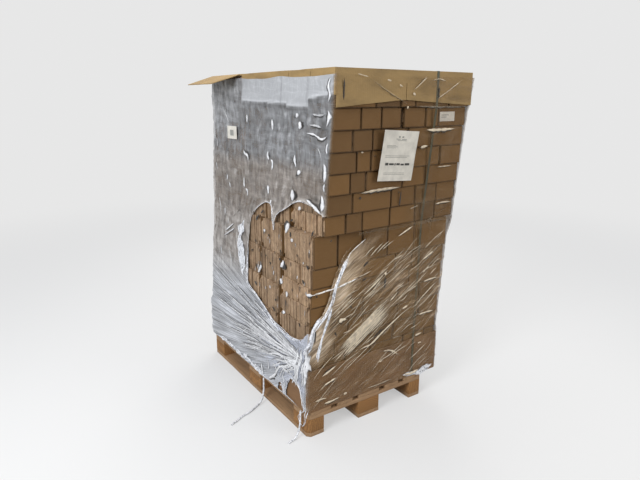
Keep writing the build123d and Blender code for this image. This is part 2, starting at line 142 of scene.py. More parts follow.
# Pleats that belong to the tear, on the near end
TEAR_PLEATS = (
    (((0.31, 0.722), (0.37, 0.760), (0.445, 0.815)), 0.010, 1.0, 0.9),
    (((0.345, 0.705), (0.40, 0.742)), 0.008, 0.6, 0.9),
    (((0.265, 0.830), (0.31, 0.838), (0.36, 0.852)), 0.007, 0.7, 0.7),
    (((0.445, 0.812), (0.462, 0.820)), 0.018, 1.0, 0.0),
    (((0.075, 0.335), (0.12, 0.352), (0.168, 0.374)), 0.012, 1.0, -0.9),
    (((0.085, 0.280), (0.13, 0.292), (0.172, 0.305)), 0.011, 0.95, 0.9),
    (((0.165, 0.610), (0.19, 0.618), (0.215, 0.616)), 0.024, 1.0, 0.5),
    (((0.30, 0.930), (0.33, 0.960), (0.36, 0.985)), 0.007, 0.7, 0.7),
    (((0.335, 0.925), (0.38, 0.965), (0.41, 0.995)), 0.008, 0.8, 0.7),
    (((0.375, 0.935), (0.41, 0.965), (0.45, 1.000)), 0.007, 0.7, 0.6),
    (((0.415, 0.950), (0.45, 0.975), (0.48, 0.995)), 0.007, 0.7, 0.6),
    (((0.300, 0.415), (0.35, 0.424), (0.40, 0.432), (0.49, 0.492), (0.60, 0.556),
      (0.625, 0.570)), 0.012, 1.0, 0.6),
    (((0.35, 0.440), (0.42, 0.472)), 0.006, 0.7, 0.8),
    (((0.38, 0.495), (0.48, 0.560), (0.51, 0.585)), 0.008, 0.8, 0.4),
    (((0.50, 0.650), (0.53, 0.672), (0.555, 0.695)), 0.008, 0.8, 0.6),
    (((0.16, 0.400), (0.20, 0.425), (0.25, 0.462)), 0.010, 0.6, 0.0),
)
# Strips of painted shade where open gaps show dark through the clear film of the near end: ends and width
END_GAP_SHADE = (
    ((0.036, 1.796), (0.041, 1.690), 0.011), ((0.459, 0.798), (0.459, 0.730), 0.017),
    ((0.405, 0.457), (0.482, 0.502), 0.013), ((0.600, 0.532), (0.606, 0.526), 0.018),
    ((0.085, 0.398), (0.088, 0.378), 0.020), ((0.146, 1.462), (0.150, 1.468), 0.018),
    ((0.258, 1.450), (0.262, 1.440), 0.016), ((0.192, 1.256), (0.192, 1.238), 0.016),
    ((0.462, 1.262), (0.462, 1.170), 0.012), ((0.440, 1.250), (0.452, 1.250), 0.014),
    ((0.020, 0.782), (0.030, 0.770), 0.016), ((0.030, 1.060), (0.040, 1.052), 0.018),
    ((0.640, 1.765), (0.640, 1.700), 0.010), ((0.300, 0.800), (0.330, 0.815), 0.010),
    ((0.335, 0.905), (0.300, 0.880), 0.014), ((0.23, 0.690), (0.25, 0.665), 0.012),
    ((0.150, 0.560), (0.165, 0.530), 0.012), ((0.070, 0.520), (0.062, 0.470), 0.010),
    ((0.032, 0.600), (0.030, 0.520), 0.012),
)
# The broad pale band across the near end's film: from, to, its height there, and its pleats
BAND_FROM, BAND_TO, BAND_HEIGHT, BAND_PLEATS = (0.155, 0.400), (0.540, 0.665), 0.078, 10

# Puckers of the film on the left side, with their painted glints and shadows
SIDE_PLEATS = (
    (((-1.010, 1.660), (-1.022, 1.630), (-0.995, 1.600), (-0.970, 1.565)), 0.010, 0.7, 0.3),
    (((-0.757, 1.625), (-0.752, 1.580)), 0.020, 0.7, 0.4),
    (((-0.492, 1.610), (-0.482, 1.548)), 0.018, 0.75, 0.4),
    (((-0.268, 1.642), (-0.262, 1.618)), 0.022, 0.9, 0.5),
    (((-0.240, 1.604), (-0.232, 1.566)), 0.026, 1.0, -0.6),
    (((-0.018, 1.660), (-0.014, 1.630), (-0.026, 1.585)), 0.020, 1.0, 0.8),
    (((-0.190, 1.552), (-0.120, 1.548), (-0.060, 1.530), (-0.012, 1.548)), 0.010, 0.9, 0.7),
    (((-0.170, 1.590), (-0.110, 1.588), (-0.060, 1.580)), 0.008, 0.6, 0.6),
    (((-0.150, 1.640), (-0.090, 1.634), (-0.040, 1.640)), 0.009, 0.5, 0.5),
    (((-0.790, 1.432), (-0.776, 1.412), (-0.742, 1.400), (-0.730, 1.370)), 0.016, 0.9, -0.9),
    (((-0.518, 1.446), (-0.524, 1.420), (-0.506, 1.396)), 0.018, 1.0, -0.4),
    (((-0.492, 1.402), (-0.474, 1.388), (-0.476, 1.345)), 0.018, 0.95, 0.4),
    (((-0.268, 1.448), (-0.268, 1.418), (-0.250, 1.382)), 0.017, 1.0, 0.5),
    (((-0.232, 1.372), (-0.218, 1.350)), 0.028, 1.0, 0.5),
    (((-0.030, 1.425), (-0.018, 1.395), (-0.016, 1.335)), 0.024, 1.0, 0.8),
    (((-0.090, 1.495), (-0.064, 1.465), (-0.060, 1.440)), 0.006, 0.6, 0.3),
    (((-0.985, 1.272), (-0.990, 1.232)), 0.012, 0.7, 0.4),
    (((-0.960, 1.225), (-0.944, 1.190)), 0.014, 0.7, 0.4),
    (((-0.778, 1.278), (-0.776, 1.232), (-0.768, 1.215)), 0.014, 0.95, 0.3),
    (((-0.756, 1.212), (-0.735, 1.200), (-0.730, 1.170)), 0.016, 0.85, 0.4),
    (((-0.512, 1.264), (-0.504, 1.212)), 0.020, 1.0, 0.6),
    (((-0.276, 1.272), (-0.268, 1.212)), 0.030, 1.0, -0.95),
    (((-0.478, 1.190), (-0.474, 1.162)), 0.020, 0.8, 0.3),
    (((-0.205, 1.198), (-0.202, 1.174)), 0.020, 0.7, 0.0),
    (((-0.030, 1.278), (-0.020, 1.240), (-0.024, 1.196)), 0.022, 1.0, 0.9),
    (((-0.155, 1.240), (-0.090, 1.214), (-0.024, 1.184)), 0.018, 1.0, -0.5),
    (((-0.012, 1.335), (-0.020, 1.312), (-0.010, 1.290)), 0.012, 0.7, 0.4),
    (((-0.008, 1.520), (-0.018, 1.490), (-0.010, 1.462)), 0.012, 0.8, 0.4),
    (((-0.012, 1.800), (-0.026, 1.760), (-0.012, 1.725), (-0.020, 1.690)), 0.014, 0.9, 0.7),
    (((-1.000, 0.905), (-0.930, 0.945), (-0.860, 0.985)), 0.010, 0.9, 0.6),
    (((-1.020, 0.870), (-0.950, 0.905), (-0.850, 0.955)), 0.009, 0.8, 0.6),
    (((-1.020, 1.060), (-1.010, 1.010)), 0.016, 0.6, 0.3),
    (((-0.960, 1.000), (-0.950, 0.960)), 0.014, 0.6, 0.3),
    (((-0.810, 0.985), (-0.800, 0.930)), 0.018, 0.8, 0.3),
    (((-1.100, 1.120), (-1.080, 1.060), (-1.090, 1.000)), 0.010, 0.6, 0.4),
    (((-1.060, 0.800), (-1.040, 0.740)), 0.014, 0.6, 0.5),
    (((-0.940, 0.810), (-0.900, 0.750), (-0.880, 0.700)), 0.010, 0.7, 0.5),
    (((-1.130, 1.480), (-1.120, 1.420)), 0.012, 0.5, 0.4),
    (((-1.140, 1.330), (-1.120, 1.280)), 0.012, 0.5, 0.4),
    (((-0.480, 0.560), (-0.462, 0.545)), 0.020, 0.9, 0.0),
    (((-0.340, 0.540), (-0.300, 0.505)), 0.014, 0.9, 0.3),
    (((-0.670, 0.202), (-0.655, 0.190)), 0.022, 1.0, 0.0),
    (((-0.548, 0.190), (-0.532, 0.178)), 0.022, 0.9, 0.3),
    (((-0.470, 0.230), (-0.462, 0.190), (-0.448, 0.160)), 0.020, 1.0, 0.5),
    (((-0.285, 0.250), (-0.335, 0.205), (-0.385, 0.170)), 0.020, 1.0, -0.95),
    (((-0.250, 0.200), (-0.240, 0.190)), 0.022, 0.9, 0.0),
    (((-0.222, 0.262), (-0.206, 0.222), (-0.212, 0.165)), 0.016, 0.8, 0.0),
    (((-0.330, 0.160), (-0.270, 0.156), (-0.200, 0.160), (-0.060, 0.154)), 0.008, 0.7, 0.4),
    (((-0.085, 0.300), (-0.050, 0.270), (-0.030, 0.220), (-0.020, 0.165)), 0.014, 0.9, 0.0),
    (((-0.235, 0.385), (-0.170, 0.362), (-0.095, 0.345)), 0.010, 0.9, 0.8),
    (((-0.190, 0.330), (-0.130, 0.312), (-0.080, 0.300)), 0.009, 0.8, 0.7),
    (((-0.095, 0.400), (-0.075, 0.350), (-0.090, 0.310)), 0.010, 0.8, 0.5),
    (((-0.330, 0.300), (-0.290, 0.262), (-0.300, 0.225)), 0.010, 0.9, 0.7),
    (((-0.400, 0.300), (-0.380, 0.250), (-0.395, 0.215)), 0.010, 0.8, 0.6),
)
# Scraps of film left in the bared bundles, with painted glints on them and painted shade for the gaps beside
# them
TEAR_SCRAPS = (
    (((-0.232, 1.102), (-0.252, 1.072), (-0.258, 1.040)), 0.030, 1.0, 0.95),
    (((-0.278, 0.896), (-0.276, 0.880), (-0.298, 0.852)), 0.022, 1.0, -0.95),
    (((-0.292, 0.792), (-0.276, 0.764)), 0.030, 1.0, 0.9),
    (((-0.506, 0.812), (-0.526, 0.785), (-0.545, 0.755)), 0.020, 1.0, 0.8),
    (((-0.222, 0.742), (-0.224, 0.706)), 0.018, 0.75, 0.4),
    (((-0.248, 0.628), (-0.240, 0.608)), 0.024, 1.0, 0.6),
    (((-0.040, 0.776), (-0.012, 0.784), (0.006, 0.788)), 0.014, 1.0, 0.8),
    (((-0.200, 1.030), (-0.198, 1.008)), 0.020, 0.7, 0.0),
    (((-0.498, 1.016), (-0.480, 1.002)), 0.020, 0.7, 0.7),
    (((-0.410, 0.720), (-0.395, 0.700)), 0.016, 0.45, 0.0),
    (((-0.455, 0.700), (-0.450, 0.680)), 0.012, 0.4, 0.5),
)
# Strips of painted shade for the gaps between the bared bundles: ends and width
TEAR_GAP_SHADE = (
    ((-0.232, 1.125), (-0.226, 1.108), 0.018), ((-0.222, 1.058), (-0.214, 1.030), 0.018),
    ((-0.320, 0.900), (-0.312, 0.882), 0.018), ((-0.256, 0.882), (-0.250, 0.846), 0.024),
    ((-0.056, 0.925), (-0.034, 0.908), 0.022), ((-0.085, 0.842), (-0.066, 0.824), 0.020),
    ((-0.636, 0.872), (-0.622, 0.860), 0.026), ((-0.604, 0.940), (-0.586, 0.918), 0.018),
    ((-0.316, 0.944), (-0.306, 0.926), 0.018), ((-0.575, 0.802), (-0.566, 0.776), 0.022),
    ((-0.600, 1.050), (-0.560, 1.086), 0.022), ((-0.545, 1.096), (-0.520, 1.120), 0.018),
    ((-0.018, 1.105), (-0.022, 1.075), 0.018), ((-0.590, 0.690), (-0.560, 0.672), 0.018),
    ((-0.375, 0.606), (-0.335, 0.588), 0.014), ((-0.345, 0.662), (-0.338, 0.646), 0.016),
    ((-0.236, 0.690), (-0.232, 0.650), 0.012), ((-0.095, 0.612), (-0.084, 0.590), 0.016),
    ((-0.452, 1.000), (-0.440, 0.985), 0.016), ((-0.150, 0.958), (-0.140, 0.945), 0.014),
    ((-0.420, 0.850), (-0.410, 0.835), 0.016), ((-0.180, 0.770), (-0.172, 0.752), 0.014),
    ((-0.470, 0.880), (-0.466, 0.866), 0.014),
)
# Film gathered low on the left side: where its pleats meet, how many run back from there, and
# how many more run down towards the foot and along the corner
FAN_CENTRE, FAN_PLEATS, FOOT_PLEATS, CORNER_PLEATS = (0.010, 0.425), 110, 26, 20
# How many faint pleats lean over the near end, and how many specks the bared bundles have
FAINT_PLEATS, TEAR_SPECKS = 90, 56

# Film folded back beside the tear and bunched along the foot, as flat bands: the places
# they run through with their lift, and their width
BANDS = (
    (((-0.740, 1.020, 0.008), (-0.768, 0.930, 0.014), (-0.752, 0.830, 0.014), (-0.716, 0.720, 0.009)), 0.056),
    (((-0.800, 0.900, 0.014), (-0.776, 0.800, 0.013), (-0.730, 0.690, 0.008)), 0.026),
    (((-1.080, 0.165, 0.012), (-0.900, 0.172, 0.014), (-0.700, 0.165, 0.013)), 0.026),
    (((-0.740, 0.185, 0.013), (-0.560, 0.172, 0.015), (-0.420, 0.160, 0.013)), 0.030),
    (((0.640, 0.170, 0.013), (0.760, 0.158, 0.016), (0.870, 0.176, 0.013)), 0.030),
)

# Film gathered into ropes: radius, strands, seed, and the places that they run through with
# their lift
ROPES = (
    ("rope_clump", 0.0145, 4, 8, (
        (-0.002, 0.470, 0.012), (0.012, 0.535, 0.017), (0.020, 0.600, 0.016), (0.062, 0.650, 0.012))),
    ("rope_end", 0.0062, 4, 4, (
        (0.020, 0.600, 0.014), (0.070, 0.655, 0.014), (0.110, 0.715, 0.013), (0.134, 0.790, 0.011),
        (0.160, 0.865, 0.010), (0.200, 0.950, 0.009))),
    ("rope_corner", 0.0085, 3, 5, (
        (0.036, 0.430, 0.013), (0.048, 0.500, 0.015), (0.066, 0.570, 0.015), (0.088, 0.630, 0.014),
        (0.118, 0.705, 0.012))),
    ("rope_tip", 0.0026, 2, 7, ((0.195, 0.940, 0.009), (0.222, 0.985, 0.008), (0.262, 1.030, 0.007))),
    ("thread_end", 0.0036, 1, 6, (
        (-0.006, 0.786, 0.010), (0.070, 0.794, 0.012), (0.150, 0.804, 0.010), (0.270, 0.826, 0.008))),
    ("loop_side", 0.0022, 1, 9, (
        (-0.006, 0.158, 0.008), (-0.042, 0.128, 0.012), (-0.064, 0.100, 0.013), (-0.060, 0.072, 0.012),
        (-0.034, 0.050, 0.010))),
    ("loop_corner", 0.0026, 2, 10, (
        (-0.002, 0.160, 0.008), (-0.008, 0.118, 0.012), (-0.010, 0.088, 0.012), (-0.022, 0.064, 0.011),
        (-0.040, 0.048, 0.010))),
)
PALE_ROPES = ("rope_tip", "thread_end")

# Joints of the side bundles: distance of the first from the near left corner, their
# spacing, and the height of one joint between courses and of a course
FIRST_JOINT, JOINT_SPACING = 0.312, 0.238
COURSE_FOOT, COURSE_HEIGHT = 0.083, 0.1655

# How much painted shade darkens the film of the long sides at each height
VEIL_LEVELS = (0.15, 0.60, 1.05, 1.18, 1.28, 1.38, 1.44, 1.51, 1.54, 1.58, 1.65, 1.69, 1.82)
PAINTED_SHADE_LEVELS = (0.00, 0.00, 0.02, 0.06, 0.10, 0.07, 0.02, 0.01, 0.08, 0.17, 0.15, 0.04, 0.00)

# Routes of the two loose strands, from the film's lower edge to the floor
SIDE_STRAND = (
    (-0.418, -0.150, 0.146), (-0.420, -0.154, 0.100), (-0.427, -0.161, 0.052), (-0.450, -0.175, 0.014),
    (-0.496, -0.196, 0.006), (-0.550, -0.226, 0.007), (-0.598, -0.234, 0.006), (-0.644, -0.262, 0.006),
    (-0.684, -0.276, 0.006),
)
CORNER_STRAND = (
    (-0.418, -0.556, 0.146), (-0.421, -0.560, 0.104), (-0.428, -0.564, 0.058), (-0.446, -0.568, 0.018),
    (-0.478, -0.580, 0.006), (-0.508, -0.584, 0.006),
)
SIDE_STRAND_LENGTH = 0.395
CORNER_STRAND_LENGTH = 0.197
STRAND_DIAMETER = 0.010


def colour_setting(name, description, default):
    return FloatVectorProperty(
        name=name, description=description, subtype="COLOR", size=3, default=default, min=0, max=1)


def length_setting(name, description, default):
    return FloatProperty(name=name, description=description, default=default, unit="LENGTH")


class PalletSettings(bpy.types.PropertyGroup):
    wood_colour: colour_setting("Board colour", "Colour of the sawn boards", (0.60, 0.38, 0.205))
    block_colour: colour_setting("Block colour", "Colour of the blocks", (0.310, 0.150, 0.048))
    edge_wear: length_setting("Edge wear", "Width of the worn edges", 0.003)
    warp: length_setting("Warp", "How far the boards wander from flat", 0.0008)


class GoodsSettings(bpy.types.PropertyGroup):
    board_colour: colour_setting("Carton colour", "Colour of the carton bundles", (0.205, 0.106, 0.030))
    cut_edge_colour: colour_setting(
        "Cut edge colour", "Colour of the cartons' cut edges", (0.40, 0.275, 0.170))
    carton_thickness: length_setting("Carton thickness", "Thickness of one flat carton in a bundle", 0.0085)
    edge_unevenness: length_setting(
        "Edge unevenness", "How far single cartons stand back in a bundle", 0.0035)
    rim_width: length_setting("Rim width", "Width of the rounded rim of a bundle's end face", 0.0055)
    rim_depth: length_setting("Rim depth", "How far the rim falls back", 0.0020)
    tray_colour: colour_setting("Tray colour", "Colour of the tray", (0.205, 0.108, 0.046))
    lid_colour: colour_setting("Lid colour", "Colour of the lid", (0.330, 0.215, 0.085))
    strap_colour: colour_setting("Strap colour", "Colour of the strap", (0.030, 0.034, 0.016))


class FilmSettings(bpy.types.PropertyGroup):
    colour: colour_setting(
        "Film colour", "Colour of the film where light gets through", (0.168, 0.173, 0.179))
    # The fold colours are painted highlights of the film's folds
    fold_colour: colour_setting("Fold colour", "Colour of the film where it is folded", (0.80, 0.81, 0.83))
    cool_fold_colour: colour_setting(
        "Gathered colour", "Colour of the folds where many layers gather", (0.70, 0.73, 0.83))
    # The two end colours paint the warmer light that falls on the ends: a painted warm tint of the film and
    # its folds there
    warm_lit_colour: colour_setting(
        "End film colour", "Colour of the film over the ends, where it yellows", (0.290, 0.166, 0.058))
    warm_lit_fold_colour: colour_setting(
        "End fold colour", "Colour of the folds over the ends", (0.92, 0.75, 0.56))
    grid_step: length_setting("Grid step", "Size of the film's mesh faces", 0.0092)
    corner_radius: length_setting("Corner radius", "How tightly the film turns the load's corners", 0.008)
    goods_lift: length_setting("Lift over the goods", "Distance from the bundles to the film", 0.0045)
    sleeve_lift: length_setting(
        "Lift over tray and lid", "Distance from the goods to the film there", 0.0105)
    step_ramp: length_setting(
        "Bridge at the step", "Height over which film bridges the step in the stack", 0.120)
    wrinkle_depth: length_setting("Wrinkle depth", "Height of the film's wrinkles", 0.0035)


class PaperSettings(bpy.types.PropertyGroup):
    paper_colour: colour_setting("Paper colour", "Colour of the printed sheets", (0.78, 0.74, 0.65))
    ink_colour: colour_setting("Ink colour", "Colour of the darkest print", (0.035, 0.035, 0.03))


class StageSettings(bpy.types.PropertyGroup):
    camera_place: FloatVectorProperty(
        name="Camera place", description="Where the camera stands", size=3,
        default=(-1.6886, -2.6432, 1.7069), subtype="TRANSLATION")
    lens: FloatProperty(name="Lens", description="Focal length in millimetres", default=30.0)
    floor_colour: colour_setting("Floor colour", "Colour of the floor", (0.36, 0.36, 0.355))
    floor_glow: FloatProperty(
        name="Floor glow", description="How much the camera sees the floor lit from within", default=0.46)


# Shader helpers

class Value:
    """A number or colour in a material, which adds and multiplies like a number."""

    def __init__(self, look, socket):
        self.look, self.socket = look, socket

    def __add__(self, other):
        return self.look.maths("ADD", self, other)

    def __sub__(self, other):
        return self.look.maths("SUBTRACT", self, other)

    def __rsub__(self, other):
        return self.look.maths("SUBTRACT", other, self)

    def __mul__(self, other):
        return self.look.maths("MULTIPLY", self, other)

    def clamped(self):
        """The same value, held between 0 and 1."""
        self.socket.node.use_clamp = True
        return self


class Look:
    """A material, with short names for the nodes that it is made of."""

    def __init__(self, name):
        self.material = bpy.data.materials.new(name)
        self.material.use_nodes = True
        self.tree = self.material.node_tree

    def feed(self, target, value):
        """Give an input a value of another node, a number or a colour."""
        if isinstance(value, Value):
            self.tree.links.new(value.socket, target)
        else:
            target.default_value = (*value, 1) if target.type == "RGBA" else value

    def node(self, kind, inputs=(), output=0, **options):
        """One output of a new node, with its inputs given by name or number."""
        made = self.tree.nodes.new(kind)
        for key, value in options.items():
            setattr(made, key, value)
        for key, value in dict(inputs).items():
            self.feed(made.inputs[key], value)
        return Value(self, made.outputs[output])

    def maths(self, operation, a, b=0.5):
        return self.node("ShaderNodeMath", {0: a, 1: b}, operation=operation)

    def attribute(self, name):
        """A value kept on the mesh."""
        return self.node("ShaderNodeAttribute", output="Fac", attribute_name=name)

    def place(self, scale):
        """Object coordinates scaled per axis, in features per metre."""
        place = self.node("ShaderNodeTexCoord", output="Object")
        return self.node("ShaderNodeMapping", {"Vector": place, "Scale": scale}, "Vector")

    def noise(self, place, detail=3.0, roughness=0.55, distortion=0.0):
        """Noise over coordinates, or over object coordinates with this scale."""
        if not isinstance(place, Value):
            place = self.place(place)
        return self.node("ShaderNodeTexNoise", {
            "Vector": place, "Scale": 1.0, "Detail": detail, "Roughness": roughness,
            "Distortion": distortion}, "Fac")

    def ramp(self, source, *stops):
        """A colour ramp over a value, with stops of (position, colour or grey)."""
        made = self.node("ShaderNodeValToRGB", {"Fac": source}, "Color")
        elements = made.socket.node.color_ramp.elements
        while len(elements) < len(stops):
            elements.new(0.5)
        for element, (position, colour) in zip(elements, stops):
            element.position = position
            element.color = (*((colour,) * 3 if isinstance(colour, float) else colour), 1)
        return made

    def mixed(self, factor, a, b, blend="MIX"):
        """Two colours mixed."""
        return self.node("ShaderNodeMix", {0: factor, 6: a, 7: b}, 2, data_type="RGBA", blend_type=blend)

    def bump(self, height, strength, distance):
        """A normal from a height."""
        return self.node("ShaderNodeBump", {
            "Height": height, "Strength": strength, "Distance": distance}, "Normal")

    def finished(self, inputs):
        """The material, with these values given to its shader."""
        for key, value in inputs.items():
            self.feed(self.tree.nodes["Principled BSDF"].inputs[key], value)
        return self.material


def shade(colour, factor):
    """The colour made lighter or darker."""
    return tuple(min(1.0, c * factor) for c in colour)


# Materials

def wood_material(name, colour, along):
    """Sawn softwood with grain along X (0) or Y (1), knots and stains."""
    look = Look(name)
    coarse, fine = [38.0, 38.0, 60.0], [260.0, 260.0, 260.0]
    coarse[along], fine[along] = 2.2, 6.0
    grain, fibre = look.noise(coarse, 6.0, 0.62, 0.5), look.noise(fine)
    base = look.ramp(grain, (0.28, shade(colour, 0.52)), (0.46, shade(colour, 0.86)), (0.60, colour),
                     (0.78, shade(colour, 1.28)))
    stained = look.mixed(look.noise((5.0, 5.0, 9.0)) * 0.75, base, shade(colour, 0.45), "MULTIPLY")
    knots = look.node("ShaderNodeTexVoronoi", {"Vector": look.place((7.5, 7.5, 7.5))}, "Distance")
    knots = look.ramp(knots, (0.0, 1.0), (0.085, 0.75), (0.12, 0.0))
    knotted = look.mixed(knots, stained, shade(colour, 0.22))
    return look.finished({
        "Base Color": look.mixed(fibre * 0.35, knotted, shade(colour, 0.4)),
        "Roughness": look.ramp(fibre, (0.2, 0.62), (0.8, 0.86)),
        "Normal": look.bump(grain * 0.6 + fibre, 0.5, 0.0012)})


def block_material(name, colour):
    """Pallet blocks: darker wood with end grain and chips."""
    look = Look(name)
    rings = look.node("ShaderNodeTexWave", {
        "Vector": look.place((1.0, 1.0, 1.0)), "Scale": 26.0, "Distortion": 5.0, "Detail": 4.0,
        "Detail Scale": 1.4}, "Fac", wave_type="RINGS", rings_direction="Y")
    chips = look.noise((150.0, 70.0, 150.0), 4.0, 0.6)
    ringed = look.ramp(rings, (0.1, shade(colour, 0.62)), (0.9, shade(colour, 1.35)))
    chipped = look.ramp(chips, (0.3, shade(colour, 0.5)), (0.7, shade(colour, 1.4)))
    return look.finished({
        "Base Color": look.mixed(0.55, ringed, chipped),
        "Roughness": look.ramp(chips, (0.2, 0.70), (0.8, 0.9)),
        "Normal": look.bump(chips, 0.6, 0.0015)})


def carton_material(name, colour, edge_colour):
    """Brown board of the bundles: plain faces, paler cut edges, fibres, random dirt and painted shade round
    the rims of the end faces.
    """
    look = Look(name)
    own, grime, cut = (look.attribute(key) for key in ("own_shade", "grime", "cut_edge"))
    fibre = look.noise((40.0, 14.0, 260.0), 4.0, 0.6)
    speckle = look.noise((160.0, 160.0, 60.0), 3.0, 0.65)
    patch = look.noise((8.0, 8.0, 12.0))
    mottle = look.noise((15.0, 15.0, 13.0), 4.0, 0.6, 0.8)
    face = look.ramp(own, (0.0, shade(colour, 0.70)), (0.5, colour), (1.0, shade(colour, 1.35)))
    edge = look.ramp(own, (0.0, shade(edge_colour, 0.55)), (0.5, edge_colour), (1.0, shade(edge_colour, 1.3)))
    flecked = look.mixed(look.ramp(speckle, (0.42, 0.0), (0.62, 0.55)), edge, shade(edge_colour, 0.45))
    base = look.mixed(cut, face, flecked)
    striped = look.mixed(fibre * 0.40, base, (0.62, 0.55, 0.50), "MULTIPLY")
    patched = look.mixed(patch * 0.45, striped, (0.72, 0.66, 0.56), "MULTIPLY")
    # On the cut edges: mottled tone, with bluish painted highlights in its brightest patches
    mottle_and_highlights = look.ramp(mottle, (0.32, (0.76, 0.71, 0.66)), (0.50, 1.12), (0.66, (1.48, 1.52, 1.58)))
    mottled = look.mixed(1.0, patched, look.mixed(cut * 0.9, (1, 1, 1), mottle_and_highlights), "MULTIPLY")
    # The darkening below is painted shade round the rim of each bundle's end face, and random dirt on the
    # other cartons
    return look.finished({
        "Base Color": look.mixed(grime * 0.85, mottled, shade(colour, 0.16)),
        "Roughness": look.ramp(fibre, (0.2, 0.66), (0.8, 0.88)),
        "Normal": look.bump(fibre + speckle, 0.35, 0.0012)})


def board_material(name, colour):
    """Plain corrugated board of the tray and lid, with faint flutes, scuffs and creases."""
    look = Look(name)
    flutes = look.node("ShaderNodeTexWave", {
        "Vector": look.place((1.0, 1.0, 0.05)), "Scale": 45.0, "Distortion": 0.4}, "Fac",
        wave_type="BANDS", bands_direction="DIAGONAL")
    cloudy = look.noise((6.0, 6.0, 16.0), 5.0, 0.6)
    scuff = look.noise((30.0, 30.0, 160.0), 5.0, 0.7, 0.6)
    base = look.ramp(cloudy, (0.25, shade(colour, 0.66)), (0.5, colour), (0.75, shade(colour, 1.22)))
    return look.finished({
        "Base Color": look.mixed(look.ramp(scuff, (0.58, 0.0), (0.72, 0.4)), base, shade(colour, 1.6)),
        "Roughness": look.ramp(scuff, (0.2, 0.6), (0.8, 0.85)),
        "Normal": look.bump(flutes * 0.25 + cloudy, 0.3, 0.002)})


def strap_material(name, colour):
    """Embossed plastic band."""
    look = Look(name)
    emboss = look.node("ShaderNodeTexVoronoi", {"Vector": look.place((260.0, 260.0, 260.0))}, "Distance")
    worn = look.noise((60.0, 12.0, 12.0), 4.0)
    return look.finished({
        "Base Color": look.ramp(worn, (0.35, shade(colour, 0.7)), (0.7, shade(colour, 1.8))),
        "Roughness": 0.42, "Normal": look.bump(emboss, 0.4, 0.0005)})


def stretched_noise(look, place, angle, long, across, detail, distortion):
    """Noise over the unrolled film, drawn out along one direction. Lengths are in metres."""
    drawn = look.node("ShaderNodeMapping", {
        "Vector": place, "Rotation": (0, 0, math.radians(angle)), "Scale": (long, across, 1.0)},
        "Vector", vector_type="TEXTURE")
    return look.noise(drawn, detail, 0.45, distortion)


def crease_lines(look, place, angle, long, across, sharpness):
    """Thin lines from 0 to 1 that run at an angle over the unrolled film."""
    value = stretched_noise(look, place, angle, long, across, 1.5, 0.2)
    crest = 1.0 - look.maths("ABSOLUTE", value - 0.5) * 2.0
    return look.maths("POWER", crest.clamped(), sharpness)


def soft_folds(look, place, angle, long, across):
    """Soft streaks from 0 to 1, drawn out at an angle over the unrolled film."""
    value = stretched_noise(look, place, angle, long, across, 1.6, 0.3)
    return ((value - 0.5) * 2.4 + 0.5).clamped()


def film_material(name, settings):
    """Stretch film: clear where it is tight, white where it is many layers thick or folded, with painted
    highlights on its folds and creases, painted shade, and a painted warm tint of the light over the ends.
    """
    look = Look(name)
    haze, frost_and_sheen, painted_shade, warm_lit, fan, lean = (
        look.attribute(key) for key in ("haze", "frost_and_sheen", "painted_shade", "warm_lit", "fan", "lean"))

    # Places on the unrolled film, swayed a little, and places round the centre of its fan
    height = look.node("ShaderNodeSeparateXYZ", {
        "Vector": look.node("ShaderNodeTexCoord", output="Object")}, "Z")
    flat = look.node("ShaderNodeCombineXYZ", {"X": look.attribute("run"), "Y": height})
    sway = look.node("ShaderNodeTexNoise", {"Vector": flat, "Scale": 8.0}, "Color")
    centred = look.node("ShaderNodeVectorMath", {0: sway, 1: (0.5, 0.5, 0.5)}, operation="SUBTRACT")
    moved = look.node("ShaderNodeVectorMath", {0: centred, "Scale": 0.06}, operation="SCALE")
    place = look.node("ShaderNodeVectorMath", {0: flat, 1: moved}, operation="ADD")
    spokes = look.node("ShaderNodeCombineXYZ", {
        "X": look.attribute("fan_out"), "Y": look.attribute("fan_turn")})

    plain_share = (1.0 - (fan + lean)).clamped()
    fan_lines = crease_lines(look, spokes, 0, 0.45, 0.008, 9.0)
    lean_lines = crease_lines(look, place, 31, 0.22, 0.014, 22.0)
    upright_lines = crease_lines(look, place, 86, 0.11, 0.020, 24.0)
    level_lines = crease_lines(look, place, 3, 0.20, 0.022, 26.0)
    plain_lines = upright_lines * 0.16 + level_lines * 0.13
    lines = fan_lines * fan + lean_lines * lean + plain_lines * plain_share

    fan_soft = (soft_folds(look, spokes, 0, 0.40, 0.012) - 0.5) * 0.7 + 0.5
    lean_soft = soft_folds(look, place, 31, 0.16, 0.026)
    upright_soft = soft_folds(look, place, 86, 0.085, 0.030) * 0.6
    plain_soft = upright_soft + soft_folds(look, place, 4, 0.12, 0.036) * 0.4
    plain_soft = (plain_soft - 0.5) * look.attribute("rough") + 0.5
    soft = fan_soft * fan + lean_soft * lean + plain_soft * plain_share

    # Painted highlights: the crease lines and whiteness whiten the film, and the soft folds lighten and
    # darken its veil as painted light and shade
    strokes = lines * (haze * 0.8 + 0.08)
    white = (frost_and_sheen * (soft * 1.3 + 0.35) + strokes * 0.75).clamped()
    veil = look.mixed(warm_lit, settings.colour, settings.warm_lit_colour)
    darker, brighter = (look.mixed(1.0, veil, (level,) * 3, "MULTIPLY") for level in (0.55, 1.35))
    fold = look.mixed(look.attribute("cool"), settings.fold_colour, settings.cool_fold_colour)
    fold = look.mixed(warm_lit, fold, settings.warm_lit_fold_colour)
    lit = look.mixed(white, look.mixed(soft, darker, brighter), fold)
    # Painted shade turns the film dark and opaque where the mesh asks for it
    return look.finished({
        "Alpha": (haze * (soft * 0.50 + 0.75) + strokes + painted_shade).clamped(),
        "Base Color": look.mixed(painted_shade, lit, (0.020, 0.014, 0.009)), "Roughness": 0.24,
        "Normal": look.bump(soft + lines * 0.9, 0.55, 0.004)})


